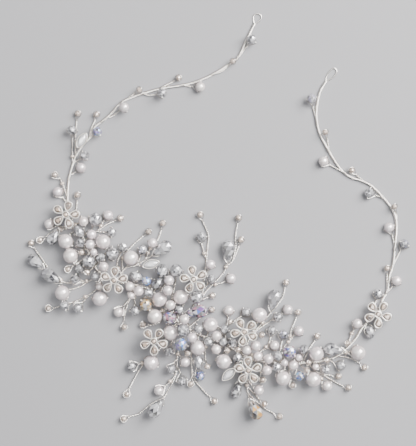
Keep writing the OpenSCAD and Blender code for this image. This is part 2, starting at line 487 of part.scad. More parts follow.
// Route of a stalk in space, a hair higher or lower than the next one so that their ridges don't
// coincide, and its direction and cross direction at the piece
function route_z(i) = wire_z + 0.012 * ((i * 7) % 11 - 5);
function route(i) = [for (p = ALL_PIECES[i][4]) [each at(p), route_z(i)]];
function stalk_dir(i) =
    let (v = last(route(i)) - held_at(i))
    is_setting(ALL_PIECES[i][0]) ? unit([v[0], v[1], 0]) : unit(v);
function hole_dir(i) = unit(cross([0, 0, 1], stalk_dir(i)));

// A strand goes round a piece and through its hole, for a main piece all the way back to the stalk.
// Tip crystals, mini pearls and small beads on the bunch are stuck on the strand's end
function is_main(kind) = len(search(kind, "PCDON")) > 0;
function goes_round(i) =
    let (kind = ALL_PIECES[i][0])
    is_main(kind) || kind == "F" || (ALL_PIECES[i][3] == 0 && kind != "s" && kind != "q");
strand_steps = 2;
function strand_r(piece) = (held_r(piece) + strand_d / 2 + gap) / cos(45 / strand_steps);
function round_strand(i) =
    let (
        kind = ALL_PIECES[i][0],
        c = held_at(i),
        e = stalk_dir(i),
        h = hole_dir(i),
        r = strand_r(ALL_PIECES[i]),
        n = strand_steps
    )
    concat(
        [for (k = [0 : n]) let (a = 90 * k / n) c + r * (cos(a) * e + sin(a) * h)],
        is_main(kind) ?
            [for (k = [0 : n - 1]) let (a = -90 + 90 * k / n) c + r * (cos(a) * e + sin(a) * h)] :
            [c - (held_r(ALL_PIECES[i]) + gap + strand_d / 2) * h]
    );
function straight_strand(i) = [held_at(i) - 0.5 * held_r(ALL_PIECES[i]) * stalk_dir(i)];

// The way of a stalk and its strand, and whether it is free of every other piece. A piece whose way
// round is barred is stuck on. One that is barred altogether and a small one that rests on others
// are bound to their neighbours by strands too fine for this part
function way(i, round) = concat(route(i), round ? round_strand(i) : straight_strand(i));
function solids(j) = concat(
    [for (b = BALLS[j]) [[each PLACES[j] + [b[0], b[1]], HEIGHTS[j]], b[2]]],
    is_setting(ALL_PIECES[j][0]) ?
        [for (z = [over_wire + post_d / 2 : post_d / 2 : HEIGHTS[j]]) [[each PLACES[j], z], post_d / 2]] :
        []
);
SOLIDS = [for (j = [0 : len(ALL_PIECES) - 1]) solids(j)];
function near_way(i, j) =
    i != j && 0 < len([for (q = ALL_PIECES[i][4]) if (norm(at(q) - PLACES[j]) < 1.5 * drop_l) 1]);
NEAR_WAY = [
    for (i = [0 : len(ALL_PIECES) - 1])
        [for (j = [0 : len(ALL_PIECES) - 1]) if (near_way(i, j)) j]
];
function off_line(c, a, b) =
    let (v = b - a, k = max(0, min(1, (c - a) * v / (v * v))))
    norm(a + k * v - c);
function way_r(i, k, round) = (k < len(ALL_PIECES[i][4]) - (round ? 0 : 1) ? stalk_d : strand_d) / 2;
function is_free(i, round) =
    let (w = way(i, round))
    0 == len([
        for (j = NEAR_WAY[i])
            for (s = SOLIDS[j])
                for (k = [0 : len(w) - 2])
                    if (off_line(s[0], w[k], w[k + 1]) < s[1] + gap * 0.9 + way_r(i, k, round)) 1
    ]);
function rests_on_others(i) =
    len(search(ALL_PIECES[i][0], "cpqs")) > 0 && HEIGHTS[i] > lowest(ALL_PIECES[i]) + gap;
ROUND = 2;
STUCK_ON = 1;
BOUND = 0;
HELD = [
    for (i = [0 : len(ALL_PIECES) - 1])
        rests_on_others(i) ? BOUND :
        goes_round(i) && is_free(i, true) ? ROUND :
        ALL_PIECES[i][0] != "F" && is_free(i, false) ? STUCK_ON : BOUND
];

// A tube along a path, with a radius at each point and mitred at its corners
function path_dir(p, i) =
    i == 0 ? unit(p[1] - p[0]) :
    i == len(p) - 1 ? unit(p[i] - p[i - 1]) :
    unit(unit(p[i + 1] - p[i]) + unit(p[i] - p[i - 1]));
function square_to(v, t) = unit(v - (v * t) * t);
function corner_dir(p, i) =
    let (d = i == 0 || i == len(p) - 1 ? [0, 0, 0] : unit(p[i + 1] - p[i]) - unit(p[i] - p[i - 1]))
    norm(d) < 0.02 ? [0, 0, 0] : unit(d);
function corner_stretch(p, i) =
    i == 0 || i == len(p) - 1 ? 0 :
    min(1.6, 1 / (unit(p[i + 1] - p[i]) * path_dir(p, i))) - 1;
function path_sides(p, i, side) =
    i == len(p) ? [] :
    let (s = square_to(side, path_dir(p, i))) concat([s], path_sides(p, i + 1, s));
module tube(p, radii, turn) {
    n = len(p);
    sides = path_sides(p, 0, [0.4 * cos(turn), 0.4 * sin(turn), 1]);
    rings = [
        for (i = [0 : n - 1])
            let (
                s = sides[i],
                t = cross(path_dir(p, i), s),
                m = corner_dir(p, i),
                k = corner_stretch(p, i)
            )
            for (j = [0 : wire_sides - 1])
                let (a = 360 * j / wire_sides, v = radii[i] * (cos(a) * s + sin(a) * t))
                p[i] + v + k * (v * m) * m
    ];
    walls = [
        for (i = [0 : n - 2])
            for (j = [0 : wire_sides - 1])
                let (a = i * wire_sides + j, b = i * wire_sides + (j + 1) % wire_sides)
                [a, a + wire_sides, b + wire_sides, b]
    ];
    ends = [
        [for (j = [0 : wire_sides - 1]) j],
        [for (j = [wire_sides - 1 : -1 : 0]) (n - 1) * wire_sides + j]
    ];
    polyhedron(points = rings, faces = concat(walls, ends), convexity = 6);
}

// A stalk and its strand in one tube
module stalk(i) {
    path = way(i, HELD[i] == ROUND);
    tube(path, [for (k = [0 : len(path) - 1]) way_r(i, k, HELD[i] == ROUND)], 137 * i);
}

module stem(points) {
    path = [for (p = points) [each at(p), wire_z]];
    tube(path, [for (p = path) stem_d / 2], 20);
}
module end_loop(points) {
    path = [for (p = points) [each at(p), wire_z]];
    half = floor(len(path) / 2);
    for (ends = [[0, half], [half - 1, len(path) - 1]])
        let (part = [for (i = [ends[0] : ends[1]]) path[i]])
        tube(part, [for (p = part) strand_d / 2 + gap / 2], 50 + ends[0]);
}
module winding(place) {
    translate([each at(place), stem_d * 0.55])
        rotate([0, 0, place[2]])
            hull()
                for (x = [-stem_d / 2, stem_d / 2])
                    translate([x, 0, 0])
                        rotate([0, 90, 0])
                            cylinder(h = stem_d / 2, d = stem_d * 1.1, center = true, $fn = 6);
}
module wire(points, loop, windings, right) {
    color(SILVER) {
        stem(points);
        end_loop(loop);
        for (w = windings) winding(w);
        for (i = [0 : len(ALL_PIECES) - 1])
            if (HELD[i] != BOUND && (SIDE_OF[i] == "right") == right) stalk(i);
    }
}

// A bead's hole: across its stalk, or in line with it where the bead is stuck on
function bore_dir(i) = HELD[i] == STUCK_ON ? stalk_dir(i) : hole_dir(i);
module along_hole(i) {
    h = bore_dir(i);
    translate(held_at(i)) rotate([0, acos(h[2]), atan2(h[1], h[0])]) children();
}
module hole(i, length) {
    along_hole(i) cylinder(h = length, d = bead_hole_d, center = true);
}
module pearl(i) {
    r = half_h(ALL_PIECES[i]);
    color(PEARL)
        along_hole(i)
            difference() {
                sphere(r = r);
                cylinder(h = 3 * r, d = bead_hole_d, center = true);
            }
}

// A round bead cut with a table above and below, eight upright facets and sixteen sloping ones
cut_share = 0.9;
module cut_round(i) {
    flat = half_h(ALL_PIECES[i]) * cut_share;
    h = hole_dir(i);
    color(CRYSTAL)
        difference() {
            translate(held_at(i))
                rotate([0, 0, atan2(h[1], h[0])])
                    intersection() {
                        linear_extrude(height = 2 * flat, center = true) polygon(octagon(flat, flat));
                        slopes(flat * sqrt(2), 0);
                        slopes(flat * sqrt(2), 45);
                        slopes(flat * sqrt(2), 90);
                        slopes(flat * sqrt(2), 135);
                    }
            hole(i, 4 * flat);
        }
}
module slopes(w, turn) {
    rotate([90, 0, turn + 22.5])
        linear_extrude(height = 4 * w, center = true) polygon([[w, 0], [0, w], [-w, 0], [0, -w]]);
}

// A long bead cut from three outlines: from above, from the side and from its end
module cut_long(i, plan, profile, section) {
    e = -stalk_dir(i);
    color(CRYSTAL)
        difference() {
            translate(held_at(i))
                rotate([0, 0, atan2(e[1], e[0])])
                    intersection() {
                        linear_extrude(height = 2 * drop_w, center = true) polygon(plan);
                        rotate([90, 0, 0])
                            linear_extrude(height = 2 * drop_w, center = true) polygon(profile);
                        rotate([90, 0, 90])
                            linear_extrude(height = 4 * drop_l, center = true) polygon(section);
                    }
            hole(i, 2 * drop_w);
        }
}
function octagon(x, y) = [for (k = [0 : 7]) let (a = 22.5 + 45 * k) [x * cos(a), y * sin(a)] / cos(22.5)];

// Shares of a drop's length from its hole and of its half width, from the neck to the wide end
DROP_OUTLINE = [[-0.13, 0.26], [-0.05, 0.44], [0.3, 0.86], [0.54, 1], [0.74, 0.87], [0.87, 0.42]];
function reversed(list) = [for (k = [len(list) - 1 : -1 : 0]) list[k]];
function drop_side(side) = [for (p = DROP_OUTLINE) [p[0] * drop_l, side * p[1] * drop_w / 2]];
function drop_outline(share) = share * concat(drop_side(-1), reversed(drop_side(1)));
module drop_crystal(i) {
    share = drop_share(ALL_PIECES[i]);
    outline = drop_outline(share);
    cut_long(i, outline, outline, octagon(drop_w * 0.48 * share, drop_w * 0.48 * share));
}
module oval_crystal(i) {
    outline = octagon(oval_l * 0.48, oval_w * 0.48);
    cut_long(i, outline, outline, octagon(oval_w * 0.48, oval_w * 0.48));
}

// Outline of a petal, from its point near the middle to its round outer end: shares of length, half width
PETAL_OUTLINE = [[0, 0.16], [0.25, 0.62], [0.5, 0.94], [0.7, 1], [0.88, 0.72], [1, 0.3]];
petal_from = flower_centre_d * 0.42;
petal_l = flower_d / 2 - petal_from;
function petal_side(grow, side) = [
    for (p = PETAL_OUTLINE)
        [petal_from - grow + p[0] * (petal_l + 2 * grow), side * p[1] * (petal_w / 2 + grow)]
];
function petal_outline(grow) = concat(petal_side(grow, -1), reversed(petal_side(grow, 1)));

// Outline of the pointed stone
NAVETTE_OUTLINE = [[-1, 0], [-0.72, 0.48], [-0.3, 0.92], [0, 1], [0.3, 0.92], [0.72, 0.48]];
function navette_outline(grow) = [
    for (s = [-1, 1])
        for (p = NAVETTE_OUTLINE)
            s * [p[0] * (navette_l / 2 + grow), p[1] * (navette_w / 2 + grow)]
];

// A cup: a plate with a wall that stands round a stone
module cup(outer, inner) {
    linear_extrude(height = plate_t) polygon(outer);
    difference() {
        linear_extrude(height = plate_t + cup_depth) polygon(outer);
        translate([0, 0, plate_t]) linear_extrude(height = 2 * cup_depth) polygon(inner);
    }
}

// Frame of a setting: the plate's underside, turned as the setting is
module on_plate(i) {
    p = ALL_PIECES[i];
    translate([each PLACES[i], HEIGHTS[i] - half_h(p)]) rotate([0, 0, p[5]]) children();
}
module post(i) {
    p = ALL_PIECES[i];
    translate([each PLACES[i], over_wire])
        cylinder(h = HEIGHTS[i] - half_h(p) - over_wire + plate_t / 2, d = post_d);
}
module flower(i) {
    color(SILVER)
        difference() {
            union() {
                post(i);
                on_plate(i) {
                    for (k = [0 : 4])
                        rotate([0, 0, 72 * k]) cup(petal_outline(0), petal_outline(-cup_wall));
                    difference() {
                        cylinder(h = plate_t + cup_depth * 1.3, d = flower_centre_d);
                        translate([0, 0, plate_t])
                            cylinder(h = 2 * cup_depth, d = flower_centre_d - 2 * cup_wall);
                    }
                }
            }
            hole(i, 2 * post_d);
        }
}
module navette_setting(i) {
    color(SILVER)
        difference() {
            union() {
                post(i);
                on_plate(i) cup(navette_outline(0), navette_outline(-cup_wall));
            }
            hole(i, 2 * post_d);
        }
}

// A flat-backed stone: its outline, cut with a table and sloping facets across and along
stone_rise = 0.75;
module flat_stone(outline, length, width, from_x) {
    top = plate_t + cup_depth + stone_rise;
    base = plate_t + gap;
    girdle = plate_t + cup_depth;
    intersection() {
        translate([0, 0, base]) linear_extrude(height = top - base) polygon(outline);
        rotate([90, 0, 90])
            translate([0, 0, -10])
                linear_extrude(height = 20)
                    polygon([
                        [-width / 2, base], [width / 2, base], [width / 2, girdle], [width * 0.24, top],
                        [-width * 0.24, top], [-width / 2, girdle]
                    ]);
        rotate([90, 0, 0])
            linear_extrude(height = 20, center = true)
                polygon([
                    [from_x, base], [from_x + length, base], [from_x + length, girdle],
                    [from_x + length * 0.78, top], [from_x + length * 0.26, top], [from_x, girdle]
                ]);
    }
}
module flower_stones(i) {
    grow = -cup_wall - gap;
    color(CRYSTAL)
        on_plate(i) {
            for (k = [0 : 4])
                rotate([0, 0, 72 * k])
                    flat_stone(
                        petal_outline(grow), petal_l + 2 * grow, petal_w + 2 * grow, petal_from - grow
                    );
            translate([0, 0, plate_t + gap])
                intersection_for (a = [0 : 45 : 135])
                    rotate([0, 0, a])
                        rotate([90, 0, 0])
                            linear_extrude(height = 20, center = true)
                                let (r = (flower_centre_d / 2 - cup_wall - gap) * cos(22.5))
                                polygon([
                                    [-r, 0], [r, 0], [r, cup_depth], [r * 0.5, cup_depth * 1.6],
                                    [-r * 0.5, cup_depth * 1.6], [-r, cup_depth]
                                ]);
        }
}
module navette_stone(i) {
    grow = -cup_wall - gap;
    color(CRYSTAL)
        on_plate(i)
            flat_stone(
                navette_outline(grow), navette_l + 2 * grow, navette_w + 2 * grow, -navette_l / 2 - grow
            );
}

// Pieces of one kind, on one side or in all
function of_kind(kind) = [for (i = [0 : len(ALL_PIECES) - 1]) if (ALL_PIECES[i][0] == kind) i];
function on_side(kind, side) = [for (i = of_kind(kind)) if (SIDE_OF[i] == side) i];
function wanted(name) = node == "all" || node == name;

translate([each -at(middle_of_outline), 0]) {
    if (wanted("wire_left")) wire(LEFT_STEM, LEFT_LOOP, LEFT_WINDINGS, false);
    if (wanted("wire_right")) wire(RIGHT_STEM, RIGHT_LOOP, RIGHT_WINDINGS, true);
    for (k = [1 : count("P")]) if (wanted(str("large_pearl_", k))) pearl(of_kind("P")[k - 1]);
    for (k = [1 : count("D")]) if (wanted(str("drop_crystal_", k))) drop_crystal(of_kind("D")[k - 1]);
    for (k = [1 : count("F")]) if (wanted(str("flower_", k))) flower(of_kind("F")[k - 1]);
    for (k = [1 : count("N")]) if (wanted(str("navette_setting_", k))) navette_setting(of_kind("N")[k - 1]);
    for (k = [1 : count("N")]) if (wanted(str("navette_stone_", k))) navette_stone(of_kind("N")[k - 1]);
    if (wanted("flower_stones_left")) for (i = of_kind("F")) if (ALL_PIECES[i][1] < 0) flower_stones(i);
    if (wanted("flower_stones_right")) for (i = of_kind("F")) if (ALL_PIECES[i][1] > 0) flower_stones(i);
    for (side = SIDES) {
        if (wanted(str("small_pearls_", side))) {
            for (i = on_side("p", side)) pearl(i);
            for (i = on_side("q", side)) pearl(i);
        }
        if (wanted(str("large_crystals_", side))) for (i = on_side("C", side)) cut_round(i);
        if (wanted(str("small_crystals_", side))) for (i = on_side("c", side)) cut_round(i);
        if (wanted(str("tip_crystals_", side))) for (i = on_side("s", side)) cut_round(i);
    }
    if (wanted("oval_crystals")) for (i = of_kind("O")) oval_crystal(i);
}
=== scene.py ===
"""Hair vine: a twisted wire in a wide C, set with pearls, cut crystals, drops and rhinestone flowers on stalks."""
import math
import random

import bmesh
import bpy
from mathutils import Matrix, Vector
from mathutils.geometry import interpolate_bezier


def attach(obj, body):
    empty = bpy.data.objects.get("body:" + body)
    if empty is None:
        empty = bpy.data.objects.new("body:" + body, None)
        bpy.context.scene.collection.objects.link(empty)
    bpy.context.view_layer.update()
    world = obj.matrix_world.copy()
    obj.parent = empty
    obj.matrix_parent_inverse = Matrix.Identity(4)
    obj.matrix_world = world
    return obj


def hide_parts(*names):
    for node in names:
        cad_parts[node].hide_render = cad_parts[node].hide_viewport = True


bl_info = {
    "name": "Hair vine",
    "version": (1, 0, 0),
    "blender": (4, 5, 0),
    "location": "3D View > Sidebar > Hair vine",
    "description": "Twisted wire, pearls, crystals and flowers of a hair vine, laid on a pale floor",
    "category": "Object",
}

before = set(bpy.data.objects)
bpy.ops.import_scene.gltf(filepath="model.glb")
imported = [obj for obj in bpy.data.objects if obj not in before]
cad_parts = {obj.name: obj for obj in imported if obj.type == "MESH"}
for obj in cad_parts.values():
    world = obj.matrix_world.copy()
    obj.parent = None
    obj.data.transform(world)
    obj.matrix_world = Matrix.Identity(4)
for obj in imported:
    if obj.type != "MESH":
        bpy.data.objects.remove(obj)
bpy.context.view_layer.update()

MM = 0.001
BODY = "root"
UP = Vector((0, 0, 1))

# Places are in hundredths of the vine's width, x to the right and y away
SHARE = 0.01
MIDDLE = Vector((-0.01, -0.4))

# The stem, from the left end loop to the middle and from there to the right end loop
LEFT_STEM = (
    (9.3, 50.4), (7, 45.8), (4.8, 41.3), (2.4, 39.6), (-1.5, 37.2), (-5.5, 35.4), (-9.5, 34.3),
    (-15, 33.5), (-20, 32.1), (-23, 31.1), (-25.8, 29.6), (-28.2, 27), (-30.5, 24.9), (-32.7, 23.3),
    (-33.8, 20.8), (-37.2, 16.4), (-39.3, 9.8), (-39.7, 3), (-39.4, -0.5), (-38.2, -2.8), (-36, -5),
    (-33.3, -11.5), (-31.6, -14.4), (-28.6, -16), (-25, -17.2), (-21.5, -18), (-18, -19.2),
    (-15.4, -21.6), (-12.9, -24.7), (-10.8, -27.5), (-7.5, -29.9), (-0.5, -32.8), (3, -34.3),
    (5.6, -35.9), (8, -37),
)
RIGHT_STEM = (
    (8.4, -37.2), (11, -38), (18, -38.4), (21.5, -38.5), (25, -38.2), (28.5, -37.6), (31, -36.6),
    (33.5, -34.5), (35.6, -32.2), (37.2, -29.6), (39.5, -27), (41.6, -25), (42.8, -21.8), (44, -19.6),
    (44.5, -16), (45.4, -13), (45.9, -9), (46.4, -2.5), (46, 0.2), (44.8, 2.6), (40.2, 7.7),
    (37.5, 9.2), (34.5, 10.2), (32.3, 11.8), (30.3, 14.4), (27.4, 19.4), (26.2, 22), (25.5, 25.2),
    (25.5, 28), (25.9, 30.6), (26.6, 33), (28, 35.3),
)
# The loops at its two ends
LEFT_LOOP = (
    (9.3, 50.2), (9, 51.5), (9.2, 52.6), (10, 53), (10.9, 52.7), (11.1, 51.9), (10.5, 51.1),
    (9.3, 50.2),
)
RIGHT_LOOP = (
    (28, 35.2), (28.2, 36.6), (29, 37.9), (30.1, 38.7), (30.8, 38.2), (30.6, 37.2), (29.7, 36.2),
    (28, 35.2),
)
# Places where fine wire is wound round the stem, and the stem's direction there in degrees
WINDINGS = (
    (4.8, 41.3, 60), (-1.5, 37.2, 30), (-9.5, 34.3, 10), (-20, 32.1, 18), (-30.5, 24.9, 42), (-39.3, 9.8, 78),
    (-22, -17.9, -15), (2.8, -34.2, -25), (14.5, -38.1, -2), (25, -38.2, 6), (31, -36.6, 30),
    (43.9, -19.8, 65), (45.9, -8.6, 86), (42.6, 5, -48), (33, 11.2, -42), (28.6, 17.2, -62),
)

# Each bead or flower: kind, place, its stalk's route from the stem to near it, and a setting's turn.
# P large pearl, p small pearl, q mini pearl, C large crystal, c small crystal, s tip crystal,
# D drop, O oval crystal, F flower, N pointed setting
LEFT_PIECES = (
    ("c", 8.5, 46, ((4.8, 41.3), (7.2, 44.3))),
    ("s", 3.6, 40.3, ((-1.6, 37.1), (0.6, 37.9), (2.2, 39.1))),
    ("p", -4.9, 33.7, ((-9.5, 34.3), (-7.2, 33.9))),
    ("s", -10.6, 36.1, ((-16, 33.3), (-12.1, 35.2))),
    ("c", -14.8, 32, ((-20, 32.1), (-18.2, 31.6), (-16.9, 31.8))),
    ("s", -20.8, 32.9, ((-24.2, 30.6), (-22.4, 32))),
    ("p", -24.7, 28.3, ((-29.6, 25.7), (-27.9, 26.2), (-26.4, 27.3))),
    ("s", -32, 26.5, ((-34.1, 20.4), (-33.4, 23), (-32.5, 25))),
    ("s", -36.9, 26.7, ((-37.6, 15.3), (-37.6, 21), (-37.3, 25))),
    ("c", -31.7, 22, ((-34.6, 19.7), (-33.4, 20.7))),
    ("c", -38.3, 22.4, ((-38.3, 13), (-38.4, 18), (-38.4, 20.3))),
    ("c", -35, 15.8, ((-38, 13.9), (-36.9, 14.7))),
    ("p", -36, 12.6, ((-39, 10.7), (-37.7, 11.5))),
    ("s", -42.9, 10.7, ((-39.7, 4.6), (-41.3, 9.4))),
    ("p", -42.1, 6.3, ((-39.7, 3.2), (-40.8, 4.7))),
    ("s", -37, 5.5, ((-38.9, -1.5), (-37.5, 1), (-37.2, 3.6))),
    ("p", -44, -2, ((-38.7, -1.9), (-40.3, -2.8), (-42, -2.6))),
    ("s", -46.8, -6.3, ((-38, -3), (-42, -3.7), (-44, -4.3), (-45.3, -5.4))),
    ("D", -42.4, -4.4, ((-38, -3), (-41.3, -2.8))),
    ("P", -39.8, -6.8, ((-37.2, -3.8), (-38.5, -4.4))),
    ("P", -38.4, -10.1, ((-34.6, -8.5), (-35.9, -9))),
    ("s", -35.9, -9.7, ((-34, -10), (-34.3, -10.2))),
    ("s", -39.5, -13.9, ((-33.7, -10.6), (-36.5, -11.9), (-38.2, -13))),
    ("c", -36.3, -13.8, ((-33.3, -11.5), (-34.7, -12.4))),
    ("s", -34.4, -14.4, ((-32.3, -13.3), (-32.8, -13.6))),
    ("p", -35.3, -1.3, ((-38.3, -2.7), (-37.2, -2.1))),
    ("O", -36.6, -3.8, ((-35.3, -6.7), (-35.4, -5.7))),
    ("c", -36, -7, ((-34.2, -9.4), (-34.9, -8.7))),
    ("p", -33.2, -5, ((-35.4, -6.5), (-34.8, -6.1))),
    ("p", -33.2, -7.9, ((-33.9, -10.1), (-33.7, -9.9))),
    ("P", -30.1, -6.7, ((-34.3, -9.2), (-32.5, -8))),
    ("C", -32.4, -0.9, ((-36, -5), (-34, -4), (-33.4, -3.5))),
    ("p", -28.9, 0.2, ((-36, -5), (-32, -4), (-30.4, -1.7))),
    ("s", -25.8, -0.6, ((-32, -4), (-29.5, -2.2), (-27.5, -1.3))),
    ("c", -27.9, -4.3, ((-32, -4), (-30, -4.2))),
    ("C", -28, -9.9, ((-33.9, -10.2), (-30.7, -10))),
    ("q", -32.2, -9.6, ((-33.9, -10), (-33.8, -10.1))),
    ("C", -33.8, -11.7, ((-31.8, -14.1), (-32.2, -13.8))),
    ("c", -31, -10.8, ((-32.4, -13), (-32, -12.7))),
    ("p", -30, -13.3, ((-31.6, -14.4), (-31.5, -14.4))),
    ("c", -32.2, -15.8, ((-29.8, -15.4), (-30.2, -15.6))),
    ("p", -23.9, -18.6, ((-21.7, -17.9), (-22.1, -18.1))),
    ("D", -42.2, -16.6, ((-30.4, -15.1), (-34, -17), (-38, -17.5), (-40.9, -17.4))),
    ("c", -37.6, -16.5, ((-34, -17), (-35.6, -17))),
    ("D", -46.6, -12.9, ((-40.5, -17.4), (-45.2, -14.1))),
    ("s", -49.1, -7.1, ((-43.9, -15), (-45.8, -12), (-48.2, -8.6))),
    ("P", -40.7, -20.4, ((-34, -17), (-36, -18.2), (-38.4, -19.1))),
    ("s", -44.6, -24.1, ((-30.4, -15.1), (-31.5, -18.5), (-34, -20.6), (-38.5, -22.7), (-43, -24.1))),
    ("c", -40.3, -22.9, ((-37.8, -22.4), (-38.3, -22.6))),
    ("c", -36.8, -23.9, ((-34, -20.6), (-35.4, -22.3))),
    ("q", -31.2, -18.5, ((-30.6, -15.8), (-30.7, -17))),
    ("P", -31, -21.5, ((-31.5, -18.5), (-31.3, -19))),
    ("D", -16.3, -9.4, ((-26.4, -16.7), (-24.6, -13.7), (-22, -13), (-17.5, -10.4))),
    ("P", -22.9, -10.9, ((-24.9, -14.2), (-24.2, -13.3))),
    ("c", -25, -8.1, ((-25.8, -15.3), (-26.6, -12.5), (-25.9, -10))),
    ("s", -18.4, -4.1, ((-25.2, -14.5), (-25.2, -11), (-23.3, -8.3), (-19.8, -5.1))),
    ("c", -19.9, -8.8, ((-21.3, -12.5), (-20.7, -10.8))),
    ("p", -17.1, -7.1, ((-19.2, -11.3), (-18.3, -8.9))),
    ("s", -14.7, -1.9, ((-19.4, -11.5), (-18.3, -8.9), (-16.3, -6.6), (-15.1, -3.6))),
    ("F", -39.8, 0.3, ((-39.7, 4.2), (-40, 2.2)), 2),
    ("F", -27.2, -16.7, ((-24.5, -17.3), (-25.5, -17.7)), 12),
    ("N", -35.7, 19.6, ((-38.1, 13.8), (-36.8, 17.5)), 59),
    ("N", -17.7, -12.5, ((-21.9, -12.7), (-20.2, -13.1)), 16),
)
